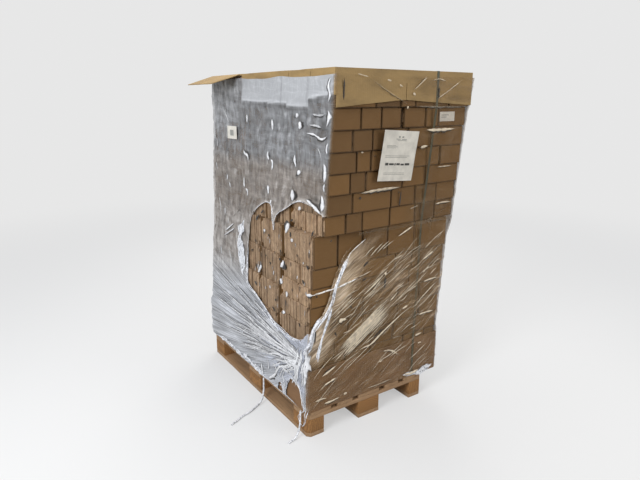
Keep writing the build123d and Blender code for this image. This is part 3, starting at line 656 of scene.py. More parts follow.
def pleat_material(name, bright_colour, dark_colour):
    """Film doubled into a pleat: a painted highlight on its crest, a painted shadow beside it."""
    look = Look(name)
    uneven = look.noise((60.0, 60.0, 60.0), 2.0, 0.5, 0.4)
    crest = look.mixed(uneven, shade(bright_colour, 0.78), shade(bright_colour, 1.12))
    return look.finished({
        "Alpha": (look.attribute("solid") * (uneven * 0.9 + 0.62)).clamped(),
        "Base Color": look.mixed(look.attribute("white"), dark_colour, crest), "Roughness": 0.3,
        "Normal": look.bump(uneven, 0.3, 0.002)})


def rope_material(name, colour):
    """Film gathered into a rope: white, streaked and half clear."""
    look = Look(name)
    crinkle = look.noise((90.0, 90.0, 60.0), 2.0, 0.5, 0.8)
    streaks = look.ramp(crinkle, (0.30, shade(colour, 0.50)), (0.46, colour), (0.62, (0.95, 0.95, 0.97)))
    return look.finished({
        "Base Color": streaks, "Alpha": look.ramp(crinkle, (0.28, 0.55), (0.50, 0.95)),
        "Roughness": 0.22, "Normal": look.bump(crinkle, 0.6, 0.002)})


def paper_material(name, colour):
    """Printed sheet behind clear plastic."""
    look = Look(name)
    cloudy = look.noise((22.0, 22.0, 22.0))
    return look.finished({
        "Base Color": look.ramp(cloudy, (0.3, shade(colour, 0.84)), (0.7, shade(colour, 1.1))),
        "Roughness": 0.5, "Coat Weight": 0.6, "Coat Roughness": 0.12,
        "Normal": look.bump(cloudy, 0.25, 0.004)})


def ink_material(name, colour):
    """Print: fine speckle over one colour."""
    look = Look(name)
    speckle = look.noise((400.0, 400.0, 400.0), 2.0)
    speckled = look.ramp(speckle, (0.3, shade(colour, 0.8)), (0.7, shade(colour, 1.25)))
    return look.finished({"Base Color": speckled, "Roughness": 0.5})


# Mesh helpers

def piece(name, mesh, material, body="root"):
    """A piece of the load from a mesh: linked, painted, riding on its body."""
    made = bpy.data.objects.new(name, mesh)
    bpy.context.scene.collection.objects.link(made)
    mesh.materials.append(material)
    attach(made, body)
    return made


def new_mesh(name, verts, faces, smooth=True, **values):
    """A mesh with a value per point kept on it for each name given."""
    mesh = bpy.data.meshes.new(name)
    mesh.from_pydata(verts, [], faces)
    mesh.polygons.foreach_set("use_smooth", [smooth] * len(mesh.polygons))
    for key, kept in values.items():
        mesh.attributes.new(key, "FLOAT", "POINT").data.foreach_set("value", np.asarray(kept, np.float32))
    return mesh


def smooth_mesh(mesh, sharp_degrees):
    mesh.polygons.foreach_set("use_smooth", [True] * len(mesh.polygons))
    mesh.set_sharp_from_angle(angle=math.radians(sharp_degrees))


def hash_noise(x, y, seed):
    """Smooth noise from -1 to 1, with cells one unit wide."""
    xi, yi = np.floor(x), np.floor(y)
    fx, fy = x - xi, y - yi
    fx, fy = fx * fx * (3 - 2 * fx), fy * fy * (3 - 2 * fy)

    def corner(i, j):
        value = np.sin(i * 127.1 + j * 311.7 + seed * 74.7) * 43758.5453
        return 2 * (value - np.floor(value)) - 1
    low = corner(xi, yi) * (1 - fx) + corner(xi + 1, yi) * fx
    high = corner(xi, yi + 1) * (1 - fx) + corner(xi + 1, yi + 1) * fx
    return low * (1 - fy) + high * fy


def layered_noise(x, y, seed, layers=3):
    total, size = 0, 1.0
    for layer in range(layers):
        total = total + size * hash_noise(x * 2 ** layer, y * 2 ** layer, seed + 13 * layer)
        size *= 0.5
    return total / (2 - 2 * size)


def creases(run, z, angle, long, across, seed):
    """Sharp crests from 0 to 1, long in one direction and narrow in the other."""
    c, s = math.cos(math.radians(angle)), math.sin(math.radians(angle))
    p, q = (run * c + z * s) / long, (z * c - run * s) / across
    bend = 0.6 * hash_noise(p * 0.7, q * 0.25, seed + 5)
    return (1 - np.abs(layered_noise(p, q + bend, seed, 2))) ** 4


def smoothstep(low, high, value):
    t = np.clip((value - low) / (high - low), 0, 1)
    return t * t * (3 - 2 * t)


def inside_outline(a, b, outline):
    """Which places lie inside a closed outline."""
    inside = np.zeros(np.shape(a), bool)
    for (a0, b0), (a1, b1) in zip(outline, outline[1:] + outline[:1]):
        crosses = (b0 > b) != (b1 > b)
        with np.errstate(divide="ignore", invalid="ignore"):
            at = (a1 - a0) * (b - b0) / (b1 - b0) + a0
        inside ^= crosses & (a < at)
    return inside


def node_bmesh(name):
    """A CAD node's mesh as a bmesh with shared corners and whole flat faces."""
    made = bmesh.new()
    made.from_mesh(frame["nodes"][name].data)
    bmesh.ops.remove_doubles(made, verts=made.verts, dist=1e-5)
    bmesh.ops.dissolve_limit(made, angle_limit=0.01, verts=made.verts, edges=made.edges)
    return made


def least_turn(angle):
    """An angle less whole quarter turns, in radians either way from none."""
    quarter = math.pi / 2
    return (angle + quarter / 2) % quarter - quarter / 2


def face_twist(bm):
    """Turn about Z of a box-like mesh, from its upright faces, in radians."""
    for face in bm.faces:
        if abs(face.normal.z) < 0.1:
            return least_turn(math.atan2(face.normal.y, face.normal.x))
    return 0.0


def islands(bm):
    """Lists of vertices that hang together."""
    left, groups = set(bm.verts), []
    while left:
        stack, group = [left.pop()], []
        while stack:
            vertex = stack.pop()
            group.append(vertex)
            for edge in vertex.link_edges:
                other = edge.other_vert(vertex)
                if other in left:
                    left.remove(other)
                    stack.append(other)
        groups.append(group)
    return groups


class Stack:
    """Where the leaning stack stands at each height, read from its cores and its tray."""

    def __init__(self):
        low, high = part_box("tray")
        self.foot = ((low + high) / 2).xy
        sleeve = 0.007
        self.half = ((high - low) / 2).xy - Vector((sleeve, sleeve))
        self.tray_top = high.z
        self.lower = self.levels("lower_core")
        self.upper = self.levels("upper_core")
        self.shift = self.lower[0][1] - self.foot
        self.step = self.lower[-1][0]
        self.top = self.upper[-1][0]

    @staticmethod
    def levels(name):
        """(height, centre, twist) of a core at each of its levels, from the lowest up."""
        bm = node_bmesh(name)
        heights = sorted({round(v.co.z, 4) for v in bm.verts})
        found = []
        for height in heights:
            corners = [v.co.xy for v in bm.verts if abs(v.co.z - height) < 1e-3]
            centre = sum(corners, Vector((0, 0))) / len(corners)
            corners.sort(key=lambda c: math.atan2(c.y - centre.y, c.x - centre.x))
            edge = corners[1] - corners[0]
            found.append((height, centre, least_turn(math.atan2(edge.y, edge.x))))
        bm.free()
        return found

    def place(self, z, upper):
        """Centre x, centre y and twist at heights z, of the lower or upper half."""
        levels = self.upper if upper else self.lower
        heights = [level[0] for level in levels]
        twist = np.interp(z, heights, [level[2] for level in levels])
        x = np.interp(z, heights, [level[1].x for level in levels])
        y = np.interp(z, heights, [level[1].y for level in levels])
        return x + self.shift.y * np.sin(twist), y - self.shift.y * np.cos(twist), twist


class Skin:
    """The film's surface round the stack, by run and height."""

    def __init__(self, stack, settings):
        self.stack = stack
        self.settings = settings
        half_x, half_y = stack.half
        radius = settings.corner_radius
        points = []
        for cx, cy, start in ((-1, -1, 180), (1, -1, 270), (1, 1, 0), (-1, 1, 90)):
            for step in range(7):
                angle = math.radians(start + 15 * step)
                normal = (math.cos(angle), math.sin(angle))
                points.append((cx * (half_x - radius), cy * (half_y - radius), *normal))
        points = np.array(points)
        # Start at the middle of the near left corner and go round to it again
        points = np.vstack([points[3:], points[:4]])
        rim = points[:, :2] + radius * points[:, 2:]
        run = np.concatenate([[0], np.cumsum(np.hypot(*np.diff(rim, axis=0).T))])
        self.length = run[-1]
        # The run at the middle of the far end
        self.seam = self.length * (2 * half_x + half_y) / (2 * half_x + 2 * half_y)
        self.table = (run, points)

    def place(self, run, z, lift):
        """World points at these runs and heights, this far out from the goods."""
        stack, settings = self.stack, self.settings
        run, z, lift = np.broadcast_arrays(*(np.asarray(value, float) for value in (run, z, lift)))
        around = np.mod(run, self.length)
        knots, points = self.table
        px, py, nx, ny = (np.interp(around, knots, points[:, k]) for k in range(4))
        size = np.hypot(nx, ny)
        nx, ny = nx / size, ny / size
        reach = settings.corner_radius + lift * (1 + 0.83 * np.abs(nx * ny))
        lx, ly = px + nx * reach, py + ny * reach

        def world(upper):
            height = np.clip(z, stack.step, None) if upper else np.clip(z, None, stack.step)
            cx, cy, twist = stack.place(height, upper)
            c, s = np.cos(twist), np.sin(twist)
            return cx + lx * c - ly * s, cy + lx * s + ly * c, nx * c - ny * s, nx * s + ny * c
        low_x, low_y, low_nx, low_ny = world(False)
        up_x, up_y = world(True)[:2]
        out = (up_x - low_x) * low_nx + (up_y - low_y) * low_ny
        ramp_height = settings.step_ramp
        start = np.where(out > 0, stack.step - ramp_height, stack.step)
        blend = smoothstep(0, 1, (z - start) / ramp_height)
        x, y = low_x + (up_x - low_x) * blend, low_y + (up_y - low_y) * blend
        return np.stack([x, y, z + 0 * x], -1)

    def base_lift(self, z):
        """How far the film stands out at each height: more over the tray and the lid."""
        settings, stack = self.settings, self.stack
        lid_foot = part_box("lid")[0].z
        over_tray = 1 - smoothstep(stack.tray_top, stack.tray_top + 0.06, z)
        over_lid = smoothstep(lid_foot - 0.04, lid_foot + 0.01, z)
        extra = settings.sleeve_lift - settings.goods_lift
        return settings.goods_lift + extra * np.maximum(over_tray, over_lid)


stack = Stack()


def worn_copy(name, material, wear, spacing, sway, seed, segments=2):
    """A CAD node's form with worn edges and a surface that wanders slightly."""
    bm = node_bmesh(name)
    if wear:
        bmesh.ops.bevel(bm, geom=bm.edges[:], offset=wear, segments=segments, profile=0.6,
                        affect="EDGES", clamp_overlap=True)
    low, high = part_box(name)
    for axis in range(3):
        count = int((high[axis] - low[axis]) / spacing)
        for step in range(1, count + 1):
            at = low[axis] + (high[axis] - low[axis]) * step / (count + 1)
            normal = Vector([float(axis == k) for k in range(3)])
            bmesh.ops.bisect_plane(bm, geom=bm.verts[:] + bm.edges[:] + bm.faces[:], dist=1e-5,
                                   plane_co=at * normal, plane_no=normal)
    coords = np.array([v.co for v in bm.verts])
    shift = np.stack([
        hash_noise(coords[:, 1] * 7 + coords[:, 0] * 3, coords[:, 2] * 9 + coords[:, 0], seed + axis)
        for axis in range(3)], -1) * sway
    coarse = np.stack([
        hash_noise(coords[:, 1] * 31 + coords[:, 0] * 23, coords[:, 2] * 37, seed + 40 + axis)
        for axis in range(3)], -1) * sway * 0.35
    moves = shift + coarse
    moves[:, 2] = np.where(coords[:, 2] > high.z - 0.004, np.minimum(moves[:, 2], 0.0), moves[:, 2])
    for vertex, move in zip(bm.verts, moves):
        vertex.co += Vector(move)
    mesh = bpy.data.meshes.new(name + "_dressed")
    bm.to_mesh(mesh)
    bm.free()
    smooth_mesh(mesh, 28)
    made = piece(name + "_dressed", mesh, material)
    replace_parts(made, name)
    return made


def build_pallet(settings):
    """Boards, runners and blocks with worn edges."""
    lengthwise = wood_material("pallet_wood_lengthwise", settings.wood_colour, 1)
    crosswise = wood_material("pallet_wood_crosswise", settings.wood_colour, 0)
    block = block_material("pallet_block", settings.block_colour)
    names = sorted(n for n in frame["nodes"] if n.startswith(("deck_", "stringer_", "runner_", "block_")))
    for seed, name in enumerate(names):
        material, slot = lengthwise, "pallet_wood"
        if name.startswith("stringer_"):
            material = crosswise
        if name.startswith("block_"):
            material, slot = block, "pallet_block"
        worn_copy(name, material, settings.edge_wear, 0.06, settings.warp, seed)


def bundle_parts(low, high, settings, random):
    """One bundle as a pack of flat cartons stood side by side along Y, in its own turned frame."""
    gap_left, gap_far = (0.014 + 0.014 * random.random() for _ in range(2))
    (x0, y0, z0), (x1, y1, z1) = low, high
    verts, faces, own, grime, cut_edge = [], [], [], [], []
    bundle_shade = 0.5 + 0.20 * random.standard_normal()
    y = y0
    index = 0
    while y < y1 - 1e-4:
        thickness = settings.carton_thickness * random.uniform(0.45, 1.5)
        end = min(y + thickness, y1)
        if y1 - end < 0.003:
            end = y1
        first, last = index == 0, end >= y1 - 1e-6
        crushed = 0.002 if last else max(0.0, 0.0022 - 0.0009 * index)
        left, right = (crushed + settings.edge_unevenness * random.random() ** 2 for _ in range(2))
        if index and random.random() < 0.12:
            left += 0.009
        if index and random.random() < 0.12:
            right += 0.009
        below, above = (0.4 * crushed + 0.0010 * random.random() for _ in range(2))
        xs = (x0 + left, x1 - right)
        zs = (z0 + below, z1 - above)
        cut = 0.0008 + 0.0016 * random.random()
        if index and not last and min(y - y0, y1 - end) < 0.020 and random.random() < 0.85:
            cut = gap_left if y1 - end < y - y0 else gap_far
        elif index and not last and random.random() < 0.05:
            cut = 0.008 + 0.008 * random.random()
        tone = bundle_shade + (0.13 * random.standard_normal() if index else 0)
        dirt = 0.30 * random.random() ** 2
        rim = settings.rim_width
        # The end faces' outer rings take painted shade (0.8) where the bundles meet; the other cartons take
        # random dirt
        rings = [(end, 0.0, dirt)] if not last else [(end, rim, 0.1), (end - settings.rim_depth, 0.0, 0.8)]
        rings += [(y, 0.0, dirt)] if not first else [(y + settings.rim_depth, 0.0, 0.8), (y, rim, 0.1)]
        start = len(verts)
        for at, inset, dark in rings:
            left_x, right_x, low_z, high_z = xs[0] + inset, xs[1] - inset, zs[0] + inset, zs[1] - inset
            ring = ((left_x + cut, low_z), (right_x - cut, low_z), (right_x, low_z + cut),
                    (right_x, high_z - cut), (right_x - cut, high_z), (left_x + cut, high_z),
                    (left_x, high_z - cut), (left_x, low_z + cut))
            verts += [(x, at, z) for x, z in ring]
            grime += [dark] * len(ring)
        count = 8
        faces.append([start + k for k in reversed(range(count))])
        for layer in range(len(rings) - 1):
            base = start + layer * count
            for k in range(count):
                after = (k + 1) % count
                faces.append([base + k, base + after, base + count + after, base + count + k])
        top = start + (len(rings) - 1) * count
        faces.append([top + k for k in range(count)])
        own += [min(1, max(0, tone))] * (len(rings) * count)
        cut_edge += [1.0 if index and not last else 0.0] * (len(rings) * count)
        y = end
        index += 1
    return verts, faces, own, grime, cut_edge


def build_bundles(settings):
    """Every carton bundle, dressed, one piece for each CAD row and course."""
    material = carton_material("carton_board", settings.board_colour, settings.cut_edge_colour)
    names = sorted(n for n in frame["nodes"] if "_bundles_" in n)
    for seed, name in enumerate(names):
        random = np.random.default_rng(100 + seed)
        bm = node_bmesh(name)
        twist = face_twist(bm)
        back, turn = Matrix.Rotation(-twist, 3, "Z"), Matrix.Rotation(twist, 3, "Z")
        verts, faces, values = [], [], ([], [], [])
        for group in sorted(islands(bm), key=lambda group: tuple(round(c, 3) for c in group_middle(group))):
            local = np.array([back @ v.co for v in group])
            part = bundle_parts(local.min(0), local.max(0), settings, random)
            faces += [[index + len(verts) for index in face] for face in part[1]]
            verts += [turn @ Vector(v) for v in part[0]]
            for kept, new in zip(values, part[2:]):
                kept += new
        bm.free()
        own, grime, cut_edge = values
        mesh = new_mesh(name + "_dressed", verts, faces, False, own_shade=own, grime=grime, cut_edge=cut_edge)
        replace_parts(piece(name + "_dressed", mesh, material), name)


def group_middle(group):
    return sum((v.co for v in group), Vector()) / len(group)


def repaint(name, material):
    """Give a CAD node that stays as it is its material."""
    materials = frame["nodes"][name].data.materials
    materials.clear()
    materials.append(material)


def build_cores(settings):
    """The plain middle of the stack, which hardly shows."""
    material = board_material("core_board", shade(settings.board_colour, 0.6))
    for name in ("lower_core", "upper_core"):
        repaint(name, material)


def build_boards(settings):
    """The tray, the lid and the strap."""
    for name, colour, spacing, sway, seed in (("tray", settings.tray_colour, 0.05, 0.0014, 7),
                                              ("lid", settings.lid_colour, 0.04, 0.0018, 9)):
        board = board_material(name + "_board", colour)
        worn_copy(name, board, 0.0012, spacing, sway, seed, 1)
    repaint("strap", strap_material("strap_band", settings.strap_colour))


def unrolled(skin, points, axis, start):
    """An outline on one face, from distances along it to runs round the load."""
    runs = np.linspace(-1.3, 0.0, 1301) if axis == 1 else np.linspace(0.0, 0.95, 951)
    found = []
    for at, z in points:
        line = skin.place(runs, z, skin.base_lift(np.array(z)))[:, axis]
        found.append((float(runs[np.argmin(np.abs(line - start - at))]), z))
    return found


def nearest_on_line(run, z, points):
    """Distance to a line of points, and the nearest place on it."""
    nearest, at_run, at_z = np.full(run.shape, 1e9), run.copy(), z.copy()
    for (r0, z0), (r1, z1) in zip(points, points[1:]):
        dr, dz = r1 - r0, z1 - z0
        t = np.clip(((run - r0) * dr + (z - z0) * dz) / max(dr * dr + dz * dz, 1e-12), 0, 1)
        distance = np.hypot(run - r0 - t * dr, z - z0 - t * dz)
        closer = distance < nearest
        nearest = np.where(closer, distance, nearest)
        at_run = np.where(closer, r0 + t * dr, at_run)
        at_z = np.where(closer, z0 + t * dz, at_z)
    return nearest, at_run, at_z


def lid_edge(run, lid_foot):
    """Height of the lid's lower edge along the left side, by run."""
    tab, panel, flap = 0.18, 0.36, 0.82
    along = -run
    tab_edge = lid_foot + 0.034 + 0.020 * (1 - along / tab)
    side_edge = lid_foot + 0.011 + 0.011 * (along - panel) / (flap - panel)
    return np.where(along < tab, tab_edge, np.where(along < panel, lid_foot, side_edge))


def film_fields(skin, run, z):
    """Lift in metres over the film, and the values that its material uses."""
    settings = skin.settings
    width, depth = 2 * skin.stack.half.x, 2 * skin.stack.half.y
    lid_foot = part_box("lid")[0].z
    turn = 0.006
    left = smoothstep(turn, -turn, run)
    near = smoothstep(-turn, turn, run) * smoothstep(width + turn, width - turn, run)
    right = smoothstep(width - turn, width + turn, run)
    right = right * smoothstep(width + depth + turn, width + depth - turn, run)
    far = smoothstep(width + depth - turn, width + depth + turn, run)
    sides, ends = left + right, near + far
    along = np.where(run < 0, -run, run - width)
    across = np.where(run < width + 0.5 * depth, run, 2 * width + depth - run)

    small = creases(run, z, 82, 0.10, 0.030, 3)
    cross = creases(run, z, -20, 0.20, 0.050, 11)
    flat_folds = creases(run, z, 3, 0.34, 0.060, 21)
    slant = creases(along, z, -9, 0.50, 0.034, 31)
    lean_folds = creases(across, z, 31, 0.50, 0.040, 37)
    blotch = 0.5 + 0.5 * layered_noise(run * 7, z * 7, 41)
    patchy = 0.5 + 0.5 * layered_noise(run * 16, z * 12, 43)
    right_part = smoothstep(0.48, 0.70, across / width)
    end_low = smoothstep(1.02, 0.86, z)
    bottom = smoothstep(0.44, 0.34, z - 0.10 * across)
    gathered = smoothstep(0.90, 0.62, z + 0.08 * smoothstep(0.5, 1.1, along))
    left_low, right_low = left * gathered, right * smoothstep(0.55, 0.35, z)
    side_high = sides - left_low - right_low

    # Courses and bundles showing through the film of the long sides, with painted shade and glints where they
    # meet
    course, bundle = (z - COURSE_FOOT) / COURSE_HEIGHT, (along - FIRST_JOINT) / JOINT_SPACING
    from_course = COURSE_HEIGHT * np.abs(course - np.round(course))
    from_joint = JOINT_SPACING * np.abs(bundle - np.round(bundle))
    cell = 0.5 + 0.5 * hash_noise(np.floor(course), np.floor(bundle), 77)
    seams = np.exp(-(from_course / 0.009) ** 2) + 0.8 * np.exp(-(from_joint / 0.009) ** 2)
    shade_smudges = smoothstep(0.05, 0.65, layered_noise(run * 24, z * 20, 61))
    glint_flecks = smoothstep(0.30, 0.70, layered_noise(run * 30, z * 26, 67))
    crossings = np.exp(-(from_joint / 0.030) ** 2 - (from_course / 0.035) ** 2)

    rise = settings.wrinkle_depth
    lift = skin.base_lift(z)
    lift += rise * side_high * (0.6 * small + 0.5 * cross)
    lift += rise * (left_low + right_low) * (0.3 + 1.2 * slant)
    lift += rise * ends * (1 - end_low) * (0.10 + 0.6 * right_part) * flat_folds
    lift += rise * ends * 0.8 * end_low * lean_folds
    lift -= 0.0015 * side_high * seams

    # Long sides: grey veil with painted shade by height, whiter low down, and a painted reflection over the
    # lid's panels
    # The film's whiteness is real where layers gather and bunch; its flecks, sheen and lid panels are painted
    # glints and reflection
    haze = side_high * (0.66 + 0.14 * (blotch - 0.5) + 0.10 * (cell - 0.5) - 0.07 * seams)
    frost_and_sheen = side_high * (0.05 + 0.10 * patchy + 0.05 * cell)
    beside_tear = left * smoothstep(1.16, 1.00, z) * smoothstep(0.60, 0.70, along) * (1 - gathered)
    haze += 0.10 * beside_tear
    frost_and_sheen += 0.16 * beside_tear
    haze += (left_low + 0.8 * right_low) * (0.84 + 0.10 * slant)
    frost_and_sheen += (left_low + 0.7 * right_low) * (0.14 + 0.22 * slant + 0.10 * blotch)
    near_corner = left_low * smoothstep(0.62, 0.10, along) * smoothstep(0.20, 0.30, z)
    frost_and_sheen += 0.16 * near_corner
    # Painted shade on the long sides by height, fading towards their far end
    painted_shade = sides * np.interp(z, VEIL_LEVELS, PAINTED_SHADE_LEVELS) * (0.7 + 0.6 * cell)
    painted_shade = painted_shade * (1 - 0.8 * smoothstep(0.78, 0.95, along))
    # Painted shade in dark smudges and painted glints in white flecks, gathered where the bundles meet
    painted_shade += side_high * shade_smudges * (0.24 + 0.40 * crossings)
    frost_and_sheen += side_high * glint_flecks * (0.30 + 0.40 * crossings)
    haze += 0.10 * side_high * smoothstep(0.78, 0.95, along) * smoothstep(1.50, 1.60, z)
    frost_and_sheen += 0.14 * side_high * smoothstep(0.78, 0.95, along) * smoothstep(1.40, 1.60, z)

    # Over the lid's panels the film is a painted reflection with a painted highlight along their lower edge,
    # and a painted shadow just below them
    panel_edge = z - lid_edge(-along, lid_foot)
    within = smoothstep(0.830, 0.800, along)
    panels = sides * smoothstep(-0.003, 0.003, panel_edge) * within
    haze = np.maximum(haze, panels * 1.25)
    frost_and_sheen = frost_and_sheen * (1 - panels)
    frost_and_sheen += panels * (0.33 + 0.10 * blotch + 0.20 * np.exp(-((panel_edge - 0.008) / 0.006) ** 2))
    slits = np.minimum(np.abs(along - 0.187), np.abs(along - 0.415))
    frost_and_sheen = frost_and_sheen * (1 - 0.60 * panels * np.exp(-(slits / 0.005) ** 2))
    painted_shade = painted_shade * (1 - panels) + 0.40 * sides * np.exp(-((panel_edge + 0.012) / 0.010) ** 2) * within

    # Ends: clear at the upper left, a faint sheen to the right, fogged beside the tear
    haze += ends * ((1 - end_low) * (0.02 + 0.20 * right_part * (0.4 + 0.6 * flat_folds)))
    haze += ends * end_low * (0.26 + 0.38 * lean_folds * blotch)
    frost_and_sheen += ends * (0.02 + 0.16 * right_part * flat_folds ** 2 + end_low * 0.26 * lean_folds * blotch)
    rope = np.interp(z, (0.40, 0.60, 0.70, 0.80, 0.90, 1.05), (0.01, 0.02, 0.10, 0.14, 0.175, 0.29))
    fog = smoothstep(rope + 0.17, rope + 0.03, across) * smoothstep(rope - 0.03, rope, across)
    fog = near * fog * smoothstep(0.36, 0.46, z - 0.25 * across) * smoothstep(1.10, 0.95, z)
    haze += fog * (0.46 + 0.50 * patchy)
    frost_and_sheen += fog * (0.12 + 0.80 * patchy ** 2)
    haze = haze * (1 - 0.45 * ends * bottom)
    band_rise = (BAND_TO[1] - BAND_FROM[1]) / (BAND_TO[0] - BAND_FROM[0])
    band_middle = BAND_FROM[1] + band_rise * (across - BAND_FROM[0])
    band = near * np.exp(-((z - band_middle) / (0.5 * BAND_HEIGHT)) ** 4)
    band = band * smoothstep(BAND_FROM[0] - 0.03, BAND_FROM[0] + 0.03, across)
    band = band * smoothstep(BAND_TO[0] + 0.03, BAND_TO[0] - 0.06, across)
    haze += 0.16 * band
    frost_and_sheen += 0.14 * band
    # A painted shadow on the ends under the step, where the upper half overhangs the lower
    step_line = skin.stack.step - 0.010 + 0.003 * hash_noise(run * 14, 0 * run, 93)
    painted_shade += 0.7 * ends * np.exp(-((z - step_line) / 0.006) ** 2) * smoothstep(0.02, 0.06, across)

    # The bunched foot
    foot = sides * smoothstep(0.19, 0.15, z)
    haze += 0.15 * foot * blotch
    frost_and_sheen += 0.35 * foot * patchy
    outward = np.hypot(along + FAN_CENTRE[0], z - FAN_CENTRE[1])
    turned = np.arctan2(z - FAN_CENTRE[1], along + 0.02 + FAN_CENTRE[0])
    # A painted warm tint of the light on the ends, and a little on the long sides' middle heights
    warm_lit = ends + 0.30 * side_high * smoothstep(1.44, 1.34, z)
    values = {"haze": haze, "frost_and_sheen": frost_and_sheen, "painted_shade": painted_shade, "warm_lit": warm_lit, "rough": 1 - panels,
              "cool": near_corner + 0.3 * left_low, "fan": left_low + right_low, "lean": ends * end_low}
    most = {"frost_and_sheen": 1.2, "painted_shade": 0.92}
    values = {key: np.clip(value, 0, most.get(key, 1)) for key, value in values.items()}
    values |= {"fan_out": outward, "fan_turn": 0.6 * turned, "run": np.abs(run)}
    return np.maximum(lift, 0.0015), values


def grid_faces(grid):
    """The square faces between the points of a grid of point numbers."""
    corners = (grid[:-1, :-1], grid[1:, :-1], grid[1:, 1:], grid[:-1, 1:])
    return np.stack(corners, -1).reshape(-1, 4)


def over_strap(points, gap):
    """Film points moved out where the film passes over the strap on the near end."""
    reach = 0.030
    bm = node_bmesh("strap")
    low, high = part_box("strap")
    front = {}
    for vertex in bm.verts:
        if vertex.co.y < (low.y + high.y) / 2:
            key = round(vertex.co.z, 4)
            front[key] = min(front.get(key, 1e9), vertex.co.y)
    bm.free()
    heights = sorted(front)
    face = np.interp(points[..., 2], heights, [front[h] for h in heights]) - gap
    off = np.abs(points[..., 0] - (low.x + high.x) / 2)
    edge = (high.x - low.x) / 2 + 0.006
    share = smoothstep(edge + reach, edge, off) * (points[..., 1] < (low.y + high.y) / 2)
    moved = points.copy()
    moved[..., 1] += np.minimum(0, face - points[..., 1]) * share
    return moved


def build_film(settings):
    """The film's skin as one mesh on the unrolled grid, with its openings cut out."""
    skin = Skin(stack, settings)
    low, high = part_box("stretch_film")
    columns = int(skin.length / settings.grid_step)
    rows = int((high.z - low.z) / settings.grid_step)
    run = np.linspace(skin.seam - skin.length, skin.seam, columns + 1)
    grid_run, share = np.meshgrid(run, np.linspace(0, 1, rows + 1), indexing="ij")
    around = np.mod(grid_run + 1e-6, skin.length)
    foot = low.z + 0.010 * (0.5 + 0.5 * hash_noise(around * 9, 0 * around, 71))
    head = high.z - 0.012 * (0.5 + 0.5 * hash_noise(around * 7, 0 * around, 72))
    grid_z = foot + (head - foot) * share

    near_end, left_side = stack.foot.y - stack.half.y, stack.foot.x - stack.half.x
    side = [p for p in unrolled(skin, TEAR_SIDE, 1, near_end) if p[0] < -0.004]
    end = [p for p in unrolled(skin, TEAR_END, 0, left_side) if p[0] > 0.004]
    opening = unrolled(skin, FOOT_OPENING, 1, near_end)
    torn = np.zeros(grid_run.shape, bool)
    edge = np.full(grid_run.shape, 1e9)
    gap = unrolled(skin, FOOT_GAP, 1, near_end)
    for number, outline in enumerate((side + end, opening, gap)):
        ragged = smooth_route([(r, h, 0) for r, h in outline + outline[:1]], 0.010)[:, :2]
        tatter = 0.0035 * hash_noise(np.arange(len(ragged)) * 0.9, np.zeros(len(ragged)), 80 + number)
        ragged = [(r + t, h + t) for (r, h), t in zip(ragged, tatter)]
        ragged.append(ragged[0])
        within = inside_outline(grid_run, grid_z, ragged)
        distance, at_run, at_z = nearest_on_line(grid_run, grid_z, ragged)
        snapped = distance < 0.55 * settings.grid_step
        grid_run = np.where(snapped, at_run, grid_run)
        grid_z = np.where(snapped, at_z, grid_z)
        torn |= within & ~snapped
        edge = np.minimum(edge, distance)
    lift, values = film_fields(skin, grid_run, grid_z)
    clear_end = smoothstep(0.0, 0.03, grid_run) * smoothstep(0.98, 1.04, grid_z)
    patchy = 0.25 + 0.75 * np.maximum(0, layered_noise(grid_run * 22, grid_z * 22, 91) + 0.35)
    lip = np.exp(-(edge / 0.008) ** 2) * (1 - 0.92 * clear_end) * patchy
    lift = lift + 0.004 * lip
    lift[-1] = lift[0]
    values["haze"] = np.clip(values["haze"] + 0.7 * lip, 0, 1)
    values["frost_and_sheen"] = np.clip(values["frost_and_sheen"] + 0.7 * lip, 0, 1.2)
    points = over_strap(skin.place(grid_run, grid_z, lift), 0.0015)

    index = np.arange((columns + 1) * (rows + 1)).reshape(columns + 1, rows + 1)
    quads = grid_faces(index)
    kept = quads[~torn.reshape(-1)[quads].any(1)]
    used = np.unique(kept)
    renumber = np.full(index.size, -1)
    renumber[used] = np.arange(len(used))
    mesh = new_mesh("film_skin", points.reshape(-1, 3)[used].tolist(), renumber[kept].tolist(),
                    **{key: value.reshape(-1)[used] for key, value in values.items()})
    made = piece("film_skin", mesh, film_material("film", settings))
    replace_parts(made, "stretch_film")
    build_ropes(skin, side, opening)
    build_pleats(skin)


# A pleat across its width: offset in half widths, height, and how solid and white it is.
# The last three points are a nearly flat strip of painted shadow beside it.
PLEAT_PROFILE = (
    (-1.0, 0.0, 0.0, 1.0), (-0.55, 0.7, 0.95, 1.0), (0.0, 1.0, 1.0, 1.0), (0.55, 0.6, 0.95, 0.95),
    (0.95, 0.1, 1.0, 0.0), (1.5, 0.0, 0.9, 0.0), (2.1, 0.0, 0.0, 0.0),
)


